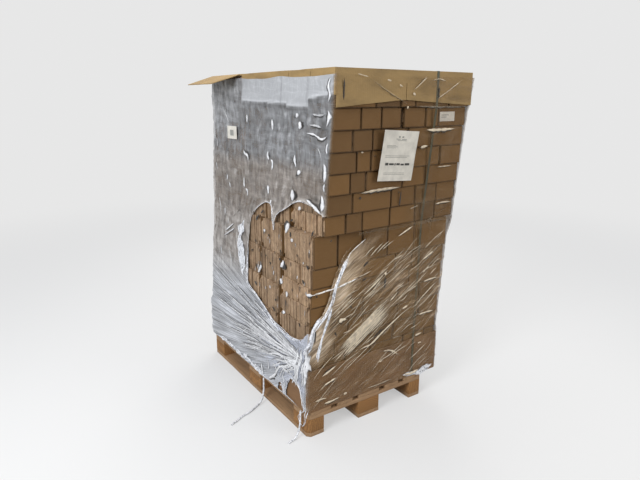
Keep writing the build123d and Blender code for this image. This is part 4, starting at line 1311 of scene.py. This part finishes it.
def add_pleats(name, skin, pleats, material, seed, rise=0.0045):
    """Narrow pleats on the film, as one mesh, tapering to both ends, each with its painted highlight and
    painted shadow.
    """
    offsets, heights, solids, whites = (np.array(column) for column in zip(*PLEAT_PROFILE))
    painted_shadow = whites < 0.5
    verts, faces, solid, white = [], [], [], []
    for number, (route, width, bright, dark) in enumerate(pleats):
        line = smooth_route([(r, z, 0) for r, z in route], 0.005)[:, :2]
        count = len(line)
        steps = np.arange(count)
        ahead = np.gradient(line, axis=0)
        ahead /= np.hypot(*ahead.T)[:, None] + 1e-9
        share = np.linspace(0, 1, count)
        taper = np.clip(3.6 * np.minimum(share, 1 - share), 0.06, 1) ** 0.75
        key = seed + 7 * number
        half = 0.5 * width * taper * (1 + 0.35 * hash_noise(steps * 0.33, 0 * steps, key))
        hand = -1 if dark < 0 else 1
        off = half[:, None] * offsets[None, :] * hand
        run = line[:, 0][:, None] + ahead[:, 1][:, None] * off
        z = line[:, 1][:, None] - ahead[:, 0][:, None] * off
        lift = skin.base_lift(z) + rise + 0.18 * width * heights[None, :]
        start = sum(len(part) for part in verts)
        points = over_strap(skin.place(run, z, lift), 0.0025)
        verts.append(points.reshape(-1, 3))
        across = len(offsets)
        grid = start + np.arange(count * across).reshape(count, across)
        faces.append(grid_faces(grid))
        strength = np.where(painted_shadow, abs(dark), bright) * solids
        fade = np.clip(6 * np.minimum(share, 1 - share), 0.0, 1)
        solid.append((strength[None, :] * fade[:, None]).reshape(-1))
        white.append(np.broadcast_to(whites, (count, across)).reshape(-1))
    mesh = new_mesh(name, np.vstack(verts).tolist(), np.vstack(faces).tolist(),
                    solid=np.concatenate(solid), white=np.concatenate(white))
    piece(name, mesh, material)


def fan_pleats():
    """Long pleats that run from the near left corner back along the left side."""
    random = np.random.default_rng(17)
    found = []
    for k in range(FAN_PLEATS):
        angle = math.radians(-17 + 32 * (k + random.random()) / FAN_PLEATS)
        first = 0.014 + 0.60 * random.random() ** 1.5
        length = (0.12 + 0.50 * random.random()) * (1.0 if abs(angle) < 0.2 else 0.75)
        bow = 0.030 * (random.random() - 0.5)
        route = []
        for share in (0.0, 0.33, 0.67, 1.0):
            out = first + length * share
            rise = out * math.tan(angle) + bow * math.sin(math.pi * share)
            route.append((-min(out, 1.17), max(FAN_CENTRE[1] + rise, 0.165)))
        whiteness = 0.35 + 0.60 * random.random() ** 1.3
        found.append((tuple(route), 0.005 + 0.006 * random.random(), whiteness,
                      0.45 + 0.45 * random.random()))
    for k in range(FOOT_PLEATS):
        angle = math.radians(-14 - 30 * (k + random.random()) / FOOT_PLEATS)
        first, length = 0.03 + 0.22 * random.random(), 0.08 + 0.16 * random.random()
        route = []
        for share in (0.0, 0.5, 1.0):
            out = first + length * share
            z = FAN_CENTRE[1] + out * math.sin(angle) + 0.012 * math.sin(3 * share + k)
            route.append((-out * math.cos(angle) - 0.01, max(z, 0.305 if out < 0.30 else 0.22)))
        found.append((tuple(route), 0.006 + 0.006 * random.random(), 0.5 + 0.5 * random.random(), 0.6))
    for k in range(CORNER_PLEATS):
        run = -0.085 + 0.095 * random.random()
        top, length = 0.53 - 0.16 * random.random() - 0.4 * abs(run), 0.07 + 0.10 * random.random()
        route = [(run * (1 + 0.5 * share) + 0.006 * math.sin(5 * share + k), max(top - length * share, 0.20))
                 for share in (0.0, 0.5, 1.0)]
        found.append((tuple(route), 0.008 + 0.007 * random.random(), 0.6 + 0.4 * random.random(), 0.6))
    return found


def end_pleats():
    """Many faint pleats that lean over the near end's lower part."""
    random = np.random.default_rng(41)
    found = []
    while len(found) < FAINT_PLEATS:
        across, z = 0.06 + 0.78 * random.random(), 0.17 + 0.85 * random.random()
        if z > 0.62 + 0.55 * across or z > 1.00 or (z < 0.45 and random.random() < 0.6):
            continue
        angle = math.radians(31 + 8 * random.standard_normal())
        length = 0.06 + 0.24 * random.random() ** 1.5
        bow = 0.026 * (random.random() - 0.5)
        route = [(min(max(across + length * (share - 0.5) * math.cos(angle), 0.02), 0.87),
                  max(z + length * (share - 0.5) * math.sin(angle) + bow * math.sin(math.pi * share), 0.165))
                 for share in (0.0, 0.5, 1.0)]
        whiteness = 0.25 + 0.65 * random.random() ** 1.6
        found.append((tuple(route), 0.0035 + 0.0045 * random.random(), whiteness, 0.7 * random.random()))
    return found


def tear_specks():
    """Small spots of painted highlight and painted shade over the bared bundles, mostly at their joints."""
    random = np.random.default_rng(53)
    bright, dark = [], []
    while len(bright) + len(dark) < TEAR_SPECKS:
        away, z = 0.03 + 0.58 * random.random(), 0.58 + 0.58 * random.random()
        low_edge = 0.53 + max(0.0, away - 0.25) * 0.36
        if z < low_edge + 0.03 or z > 1.10 or (away > 0.33 and z > 1.04):
            continue
        joint = abs((away - FIRST_JOINT) / JOINT_SPACING - round((away - FIRST_JOINT) / JOINT_SPACING))
        if joint > 0.16 and random.random() < 0.55:
            continue
        tall = 0.006 + 0.014 * random.random()
        lean = 0.012 * (random.random() - 0.5)
        route = ((-away, z + tall), (-away + lean, z - tall))
        if random.random() < 0.45:
            bright.append((route, 0.005 + 0.007 * random.random(), 0.25 + 0.55 * random.random() ** 2, 0.5))
        else:
            dark.append((route, 0.006 + 0.009 * random.random(), 0.25 + 0.5 * random.random(), 0.0))
    return bright, dark


def band_pleats():
    """Side by side pleats in the broad pale band of the near end."""
    random = np.random.default_rng(23)
    found = []
    for k in range(BAND_PLEATS):
        aside = BAND_HEIGHT * (k / (BAND_PLEATS - 1) - 0.5)
        start, stop = 0.16 * random.random(), 1.0 - 0.22 * random.random()
        route = []
        for share in (start, 0.5 * (start + stop), stop):
            route.append((BAND_FROM[0] + (BAND_TO[0] - BAND_FROM[0]) * share + 0.25 * aside,
                          BAND_FROM[1] + (BAND_TO[1] - BAND_FROM[1]) * share - aside
                          + 0.008 * (random.random() - 0.5)))
        found.append((tuple(route), 0.006 + 0.008 * random.random(), 0.75 + 0.25 * random.random(), 0.9))
    return found


def plain_puckers(skin):
    """Puckers where the bundles meet behind the film of the right side."""
    random = np.random.default_rng(31)
    corner = 2 * skin.stack.half.x
    found = []
    for column in range(4):
        for row in range(9):
            if random.random() < 0.25:
                continue
            run = corner + FIRST_JOINT + JOINT_SPACING * column + 0.02 * (random.random() - 0.5)
            z = COURSE_FOOT + COURSE_HEIGHT * (row + 1) + 0.02 * (random.random() - 0.5)
            lean, tall = 0.02 * (random.random() - 0.5), 0.020 + 0.025 * random.random()
            found.append((((run, z + tall), (run + lean, z), (run + 0.4 * lean, z - tall)),
                          0.014 + 0.010 * random.random(), 0.6 + 0.4 * random.random(),
                          0.8 * (random.random() - 0.5)))
    return found


def build_pleats(skin):
    """Every pleat, pucker and scrap of the film with its painted highlight and shadow, and strips of painted
    shade for the gaps between the bundles.
    """
    cool = pleat_material("film_pleat", (0.90, 0.90, 0.92), (0.016, 0.013, 0.011))
    # The pleats of the ends take the painted warm light
    warm_lit = pleat_material("film_pleat_end", (0.93, 0.77, 0.57), (0.016, 0.010, 0.005))
    # Dark strips that paint the shade in the gaps between the bundles
    gap = pleat_material("gap_shade", (0.02, 0.014, 0.010), (0.010, 0.007, 0.005))

    def dark(gaps):
        return [((first, last), width, 1.0, 0.0) for first, last, width in gaps]
    bolder = [(route, 1.2 * width if route[0][1] > 1.15 else width, white, 1.3 * painted_shadow)
              for route, width, white, painted_shadow in SIDE_PLEATS]
    add_pleats("film_pleats_side", skin, bolder, cool, 100)
    add_pleats("film_pleats_gathered", skin, fan_pleats(), cool, 300)
    at_end = END_PLEATS + TEAR_PLEATS + tuple(band_pleats() + end_pleats())
    add_pleats("film_pleats_end", skin, at_end, warm_lit, 500)
    add_pleats("film_pleats_right", skin, plain_puckers(skin), cool, 700)
    mirrored = [(tuple((skin.seam - r, z) for r, z in route), width, bright, -painted_shadow)
                for route, width, bright, painted_shadow in END_PLEATS]
    add_pleats("film_pleats_far", skin, mirrored, warm_lit, 900)
    bright_specks, dark_specks = tear_specks()
    scraps = [(route, 1.2 * width, white, 1.2 * painted_shadow) for route, width, white, painted_shadow in TEAR_SCRAPS]
    add_pleats("film_scraps", skin, scraps + bright_specks, cool, 1100, -0.001)
    add_pleats("bundle_gap_shade_side", skin, dark(TEAR_GAP_SHADE) + dark_specks, gap, 1300, -0.0028)
    add_pleats("bundle_gap_shade_end", skin, dark(END_GAP_SHADE), gap, 1500, 0.0005)


def smooth_route(points, spacing):
    """A smooth line through places given as (run, z, lift), evenly spaced."""
    points = np.array(points, float)
    padded = np.vstack([2 * points[0] - points[1], points, 2 * points[-1] - points[-2]])
    line = []
    for k in range(1, len(padded) - 2):
        a, b, c, d = padded[k - 1:k + 3]
        count = max(2, int(np.linalg.norm(c - b) / spacing))
        for t in np.arange(count) / count:
            line.append(0.5 * (2 * b + (c - a) * t + (2 * a - 5 * b + 4 * c - d) * t ** 2
                               + (3 * b - a - 3 * c + d) * t ** 3))
    line.append(points[-1])
    return np.array(line)


def rope_mesh(centres, radii, seed, sides=9):
    """A crumpled tube along a line of world points."""
    verts, faces = [], []
    count = len(centres)
    up = Vector((0, 0, 1))
    for k, (centre, radius) in enumerate(zip(centres, radii)):
        ahead = Vector(centres[min(k + 1, count - 1)]) - Vector(centres[max(k - 1, 0)])
        ahead.normalize()
        side = ahead.cross(up)
        if side.length < 0.1:
            side = ahead.cross(Vector((1, 0, 0)))
        side.normalize()
        other = side.cross(ahead)
        for step in range(sides):
            angle = 2 * math.pi * step / sides
            crumple = 1 + 0.38 * float(hash_noise(np.array(k * 0.31), np.array(step * 1.7), seed))
            offset = (side * math.cos(angle) + other * math.sin(angle)) * radius * crumple
            verts.append(Vector(centre) + offset)
    for k in range(count - 1):
        for step in range(sides):
            after = (step + 1) % sides
            a, b = k * sides + step, k * sides + after
            faces.append([a, b, b + sides, a + sides])
    faces.append(list(reversed(range(sides))))
    faces.append([(count - 1) * sides + step for step in range(sides)])
    return verts, faces


def add_rope(name, skin, route, radius, strands, material, seed):
    """Film gathered into thin strands that wander round one route."""
    line = smooth_route(route, 0.007)
    count = len(line)
    along = np.arange(count)
    share = np.linspace(0, 1, count)
    taper = np.clip(10 * np.minimum(share, 1 - share), 0.2, 1)
    verts, faces = [], []
    for strand in range(strands):
        key = seed * 10 + strand
        turn = along * 0.045 + 2 * math.pi * strand / strands + 2.5 * hash_noise(along * 0.02, 0 * along, key)
        spread = radius if strands > 1 else 0.0
        spread = spread * (0.9 + 0.5 * hash_noise(along * 0.06, 0 * along, key + 1))
        wander = 0.004 * hash_noise(along * 0.10, 0 * along, key + 2)
        centres = skin.place(
            line[:, 0] + spread * np.cos(turn) + wander, line[:, 1] + spread * np.cos(turn + 1) + wander,
            line[:, 2] + 0.8 * spread * np.sin(turn))
        size = radius / strands ** 0.6 * taper * (1 + 0.45 * hash_noise(along * 0.11, 0 * along, key + 3))
        part = rope_mesh(centres, size, key)
        faces += [[index + len(verts) for index in face] for face in part[1]]
        verts += part[0]
    piece(name, new_mesh(name, verts, faces), material)


def add_band(name, skin, route, width, material, seed):
    """A flat, crumpled band of film along a route of (run, z, lift)."""
    line = smooth_route(route, 0.006)
    count, across = len(line), 9
    along = np.arange(count)
    ahead = np.gradient(line[:, :2], axis=0)
    ahead /= np.hypot(*ahead.T)[:, None] + 1e-9
    share = np.linspace(0, 1, count)
    taper = np.clip(6 * np.minimum(share, 1 - share), 0.15, 1)
    half = 0.5 * width * taper * (1 + 0.5 * hash_noise(along * 0.13, 0 * along, seed))
    side = np.linspace(-1, 1, across)
    off = half[:, None] * side[None, :]
    run = line[:, 0][:, None] - ahead[:, 1][:, None] * off
    z = line[:, 1][:, None] + ahead[:, 0][:, None] * off
    folds = hash_noise(along[:, None] * 0.20 + 0 * side, side[None, :] * 2.3 + 0 * along[:, None], seed + 1)
    edges = 0.004 * side[None, :] ** 2 * hash_noise(along[:, None] * 0.35 + 0 * side, 5 + 0 * off, seed + 2)
    lift = np.maximum(line[:, 2][:, None] + 0.0045 * folds + edges, 0.001)
    verts, faces = skin.place(run, z, lift).reshape(-1, 3).tolist(), []
    for k in range(count - 1):
        for j in range(across - 1):
            a = k * across + j
            faces.append([a, a + 1, a + 1 + across, a + across])
    piece(name, new_mesh(name, verts, faces), material)


def build_ropes(skin, side, opening):
    """Film rolled up along its openings and gathered into ropes."""
    white = rope_material("film_rope", (0.80, 0.82, 0.86))
    pale = rope_material("film_thread", (0.88, 0.82, 0.72))
    rolls = (("top", side[:11], 0.006, 0.0022, 2), ("low", side[11:], 0.008, 0.0045, 3),
             ("foot", opening[1:-1], 0.012, 0.0034, 2))
    for number, (name, points, lift, radius, strands) in enumerate(rolls):
        route = [(run, z, lift) for run, z in points]
        add_rope("film_roll_" + name, skin, route, radius, strands, white, number + 1)
    for name, radius, strands, seed, route in ROPES:
        material = pale if name in PALE_ROPES else white
        add_rope("film_" + name, skin, route, radius, strands, material, seed)
    for number, (route, width) in enumerate(BANDS):
        add_band(f"film_band_{number + 1:02d}", skin, route, width, white, 40 + number)


def build_strands(settings):
    """The two loose strands of film that reach the floor."""
    material = rope_material("film_strand", settings.fold_colour)
    for name, route, length in (("side_strand", SIDE_STRAND, SIDE_STRAND_LENGTH),
                                ("corner_strand", CORNER_STRAND, CORNER_STRAND_LENGTH)):
        curve = bpy.data.curves.new(name + "_line", "CURVE")
        curve.dimensions = "3D"
        spline = curve.splines.new("NURBS")
        spline.points.add(len(route) - 1)
        for point, place in zip(spline.points, route):
            point.co = (*place, 1)
        spline.order_u = 3
        spline.use_endpoint_u = True
        curve.bevel_depth = STRAND_DIAMETER / 2
        curve.bevel_resolution = 3
        curve.use_fill_caps = True
        strand = bpy.data.objects.new(name + "_film", curve)
        bpy.context.scene.collection.objects.link(strand)
        curve.materials.append(material)
        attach(strand, "root")
        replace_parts(strand, name)


def plate_frame(name):
    """Centre, across, up and outward directions, width and height of a thin plate node."""
    bm = node_bmesh(name)
    face = max(bm.faces, key=lambda f: f.calc_area())
    normal = face.normal.copy()
    middle = sum((v.co for v in bm.verts), Vector()) / len(bm.verts)
    if normal.dot(Vector((middle.x - stack.foot.x, middle.y - stack.foot.y, 0))) < 0:
        normal.negate()
    edges = sorted((e.verts[1].co - e.verts[0].co for e in face.edges), key=lambda d: abs(d.normalized().z))
    across, up = edges[0], edges[-1]
    width, height = across.length, up.length
    up = up.normalized() * (1 if up.z > 0 else -1)
    across = up.cross(normal)
    bm.free()
    return middle, across, up, normal, width, height


def paper_sheet(name, node, material, wave, seed):
    """A sheet with a slight wave, in the place of a plate node."""
    middle, across, up, out, width, height = plate_frame(node)
    columns, rows = 14, 14
    verts, faces = [], []
    for layer in (0.0006, -0.0002):
        for j in range(rows + 1):
            for i in range(columns + 1):
                u, v = i / columns - 0.5, j / rows - 0.5
                curl = wave * float(hash_noise(np.array(3 * u + 5), np.array(3 * v + 2), seed))
                lift = layer + 0.5 * wave + curl
                verts.append(middle + across * u * width + up * v * height + out * lift)
    row_size = columns + 1
    sheet = row_size * (rows + 1)
    for j in range(rows):
        for i in range(columns):
            a = j * row_size + i
            faces.append([a, a + 1, a + 1 + row_size, a + row_size])
            b = a + sheet
            faces.append([b, b + row_size, b + 1 + row_size, b + 1])
    rim = list(range(columns)) + [columns + j * row_size for j in range(rows)]
    rim += [rows * row_size + i for i in range(columns, 0, -1)] + [j * row_size for j in range(rows, 0, -1)]
    for a, b in zip(rim, rim[1:] + rim[:1]):
        faces.append([a, a + sheet, b + sheet, b])
    mesh = new_mesh(name, verts, faces)
    smooth_mesh(mesh, 40)
    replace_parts(piece(name, mesh, material), node)
    return middle, across, up, out, width, height, wave, seed


def print_marks(name, place, marks, material):
    """Plain printed bars and lines on a sheet: each is (u, v, width, height) in shares of it."""
    middle, across, up, out, width, height, wave, seed = place
    verts, faces = [], []
    for u0, v0, w, h in marks:
        columns = max(1, int(w * 14))
        for i in range(columns):
            start = len(verts)
            for u, v in ((u0 + w * i / columns, v0), (u0 + w * (i + 1) / columns, v0),
                         (u0 + w * (i + 1) / columns, v0 + h), (u0 + w * i / columns, v0 + h)):
                du, dv = u - 0.5, v - 0.5
                curl = wave * float(hash_noise(np.array(3 * du + 5), np.array(3 * dv + 2), seed))
                lift = 0.0010 + 0.5 * wave + curl
                verts.append(middle + across * du * width + up * dv * height + out * lift)
            faces.append([start, start + 1, start + 2, start + 3])
    piece(name, new_mesh(name, verts, faces, False), material)


def build_papers(settings):
    """The document pouch and the two labels, with plain printed lines."""
    paper = paper_material("paper", settings.paper_colour)
    ink = ink_material("print_dark", settings.ink_colour)
    grey = ink_material("print_grey", (0.30, 0.30, 0.27))
    place = paper_sheet("document_pouch_sheet", "document_pouch", paper, 0.0022, 5)
    drawing = [(0.42, 0.86, 0.05, 0.030), (0.52, 0.86, 0.05, 0.030), (0.36, 0.825, 0.12, 0.014),
               (0.52, 0.82, 0.14, 0.014), (0.40, 0.80, 0.26, 0.010)]
    lines = [(0.12, 0.70 - 0.022 * k, 0.26 + 0.05 * (k % 2), 0.008) for k in range(3)]
    lines += [(0.12, 0.50 - 0.03 * k, 0.70 - 0.06 * k, 0.008) for k in range(2)]
    lines += [(0.14, 0.16 - 0.03 * k, 0.60, 0.007) for k in range(2)]
    print_marks("pouch_print_grey", place, drawing + lines, grey)
    bars = [(0.15, 0.315, 0.09, 0.05), (0.26, 0.32, 0.13, 0.038), (0.41, 0.315, 0.035, 0.045),
            (0.465, 0.32, 0.10, 0.04), (0.59, 0.315, 0.10, 0.036), (0.715, 0.315, 0.14, 0.045)]
    print_marks("pouch_print_dark", place, bars, ink)
    place = paper_sheet("side_label_sheet", "side_label", paper, 0.0008, 6)
    print_marks("side_label_print", place, [(0.30, 0.25, 0.38, 0.45)], grey)
    place = paper_sheet("bundle_label_sheet", "bundle_label", paper, 0.0003, 8)
    print_marks("bundle_label_print", place, [(0.10, 0.62, 0.5, 0.08), (0.10, 0.40, 0.35, 0.08)], grey)


def area_lamp(name, place, target, size, power, colour):
    lamp = bpy.data.lights.new(name, "AREA")
    lamp.shape = "RECTANGLE"
    lamp.size, lamp.size_y = size
    lamp.energy = power
    lamp.color = colour
    made = bpy.data.objects.new(name, lamp)
    made.location = place
    made.rotation_euler = (Vector(target) - Vector(place)).to_track_quat("-Z", "Y").to_euler()
    bpy.context.scene.collection.objects.link(made)


# How bright the camera sees the background, and how far from the load the floor fades into it
BACKGROUND = 0.80
FADE_START, FADE_END = 1.6, 7.0


def rays_that_see(tree):
    """1 for the rays that show the background: from the camera, off gloss and through glass."""
    paths = tree.nodes.new("ShaderNodeLightPath").outputs
    seen = paths["Is Camera Ray"]
    for kind in ("Is Glossy Ray", "Is Transmission Ray"):
        either = tree.nodes.new("ShaderNodeMath")
        either.operation = "MAXIMUM"
        tree.links.new(seen, either.inputs[0])
        tree.links.new(paths[kind], either.inputs[1])
        seen = either.outputs[0]
    return seen


def build_stage(settings):
    """Camera, floor, lamps and world."""
    scene = bpy.context.scene
    scene.view_settings.view_transform = "Standard"
    low, high = cad_bounds
    middle = (Vector(low) + Vector(high)) / 2
    target = Vector((stack.foot.x - 0.01, -0.06, middle.z - 0.035))

    camera_data = bpy.data.cameras.new("camera")
    camera_data.lens = settings.lens
    camera_data.clip_end = 100
    camera = bpy.data.objects.new("camera", camera_data)
    camera.location = settings.camera_place
    camera.rotation_euler = (target - Vector(settings.camera_place)).to_track_quat("-Z", "Y").to_euler()
    scene.collection.objects.link(camera)
    scene.camera = camera

    size = 30.0
    mesh = bpy.data.meshes.new("floor")
    corners = [(-size, -size, 0), (size, -size, 0), (size, size, 0), (-size, size, 0)]
    mesh.from_pydata(corners, [], [[0, 1, 2, 3]])
    floor = bpy.data.objects.new("floor", mesh)
    scene.collection.objects.link(floor)
    look = Look("floor")
    away = look.node("ShaderNodeVectorMath", {0: look.node("ShaderNodeTexCoord", output="Object")}, "Value",
                     operation="LENGTH")
    fade = look.node("ShaderNodeMapRange", {"Value": away, "From Min": FADE_START, "From Max": FADE_END},
                     "Result", interpolation_type="SMOOTHSTEP")
    glow = look.mixed(fade, (settings.floor_glow,) * 3, (BACKGROUND,) * 3)
    mesh.materials.append(look.finished({
        "Base Color": look.mixed(fade, settings.floor_colour, (0.0, 0.0, 0.0)), "Roughness": 0.9,
        "Specular IOR Level": 0.0, "Emission Color": (1, 1, 1),
        "Emission Strength": Value(look, rays_that_see(look.tree)) * glow}))

    world = bpy.data.worlds.new("studio")
    scene.world = world
    world.use_nodes = True
    nodes, links = world.node_tree.nodes, world.node_tree.links
    background = nodes["Background"]
    background.inputs["Color"].default_value = (0.90, 0.93, 1.0, 1)
    background.inputs["Strength"].default_value = 0.50
    seen = nodes.new("ShaderNodeBackground")
    seen.inputs["Color"].default_value = (BACKGROUND, BACKGROUND, BACKGROUND, 1)
    mix = nodes.new("ShaderNodeMixShader")
    links.new(rays_that_see(world.node_tree), mix.inputs[0])
    links.new(background.outputs[0], mix.inputs[1])
    links.new(seen.outputs[0], mix.inputs[2])
    links.new(mix.outputs[0], nodes["World Output"].inputs["Surface"])

    area_lamp("key", (-3.4, -1.6, 3.0), (0, 0, 0.9), (1.6, 2.4), 130, (0.95, 0.97, 1.0))
    area_lamp("fill", (1.8, -3.8, 2.6), (0, 0, 0.8), (1.8, 1.8), 44, (1.0, 0.96, 0.90))
    area_lamp("top", (0.3, 0.6, 4.4), (0, 0, 1.2), (2.4, 2.4), 60, (1.0, 0.98, 0.95))
    area_lamp("back", (2.6, 3.2, 2.8), (0, 0, 0.9), (2.0, 2.0), 60, (1.0, 0.98, 0.95))


class PALLETLOAD_OT_pallet(bpy.types.Operator):
    """Dress the wooden pallet"""
    bl_idname = "palletload.pallet"
    bl_label = "Dress Pallet"

    def execute(self, context):
        build_pallet(context.scene.load_pallet)
        return {"FINISHED"}


class PALLETLOAD_OT_bundles(bpy.types.Operator):
    """Dress the carton bundles and the unseen cores"""
    bl_idname = "palletload.bundles"
    bl_label = "Dress Bundles"

    def execute(self, context):
        build_bundles(context.scene.load_goods)
        build_cores(context.scene.load_goods)
        return {"FINISHED"}


class PALLETLOAD_OT_boards(bpy.types.Operator):
    """Dress the tray, the lid and the strap"""
    bl_idname = "palletload.boards"
    bl_label = "Dress Tray, Lid and Strap"

    def execute(self, context):
        build_boards(context.scene.load_goods)
        return {"FINISHED"}


class PALLETLOAD_OT_film(bpy.types.Operator):
    """Wrap the load in film, with its tear, ropes and loose strands"""
    bl_idname = "palletload.film"
    bl_label = "Wrap Film"

    def execute(self, context):
        build_strands(context.scene.load_film)
        build_film(context.scene.load_film)
        return {"FINISHED"}


class PALLETLOAD_OT_papers(bpy.types.Operator):
    """Put the document pouch and the labels on"""
    bl_idname = "palletload.papers"
    bl_label = "Add Papers"

    def execute(self, context):
        build_papers(context.scene.load_papers)
        return {"FINISHED"}


class PALLETLOAD_OT_stage(bpy.types.Operator):
    """Set the camera, floor and lamps"""
    bl_idname = "palletload.stage"
    bl_label = "Set Stage"

    def execute(self, context):
        build_stage(context.scene.load_stage)
        return {"FINISHED"}


OPERATORS = (PALLETLOAD_OT_pallet, PALLETLOAD_OT_bundles, PALLETLOAD_OT_boards, PALLETLOAD_OT_film,
             PALLETLOAD_OT_papers, PALLETLOAD_OT_stage)
SETTINGS = {"load_pallet": PalletSettings, "load_goods": GoodsSettings, "load_film": FilmSettings,
            "load_papers": PaperSettings, "load_stage": StageSettings}


class PALLETLOAD_PT_sidebar(bpy.types.Panel):
    """Sizes, colours and build steps of the pallet load"""
    bl_idname = "PALLETLOAD_PT_sidebar"
    bl_label = "Pallet Load"
    bl_space_type = "VIEW_3D"
    bl_region_type = "UI"
    bl_category = "Pallet Load"

    def draw(self, context):
        for name, group in SETTINGS.items():
            box = self.layout.box()
            for key in group.__annotations__:
                box.prop(getattr(context.scene, name), key)
        for operator in OPERATORS:
            self.layout.operator(operator.bl_idname)


def register():
    for group in SETTINGS.values():
        bpy.utils.register_class(group)
    for operator in OPERATORS:
        bpy.utils.register_class(operator)
    bpy.utils.register_class(PALLETLOAD_PT_sidebar)
    for name, group in SETTINGS.items():
        setattr(bpy.types.Scene, name, PointerProperty(type=group))


def unregister():
    for name in SETTINGS:
        delattr(bpy.types.Scene, name)
    bpy.utils.unregister_class(PALLETLOAD_PT_sidebar)
    for operator in reversed(OPERATORS):
        bpy.utils.unregister_class(operator)
    for group in reversed(list(SETTINGS.values())):
        bpy.utils.unregister_class(group)


def main():
    """Build every piece in order."""
    register()
    bpy.ops.palletload.stage()
    bpy.ops.palletload.film()
    bpy.ops.palletload.pallet()
    bpy.ops.palletload.bundles()
    bpy.ops.palletload.boards()
    bpy.ops.palletload.papers()


if __name__ == "__main__":
    main()
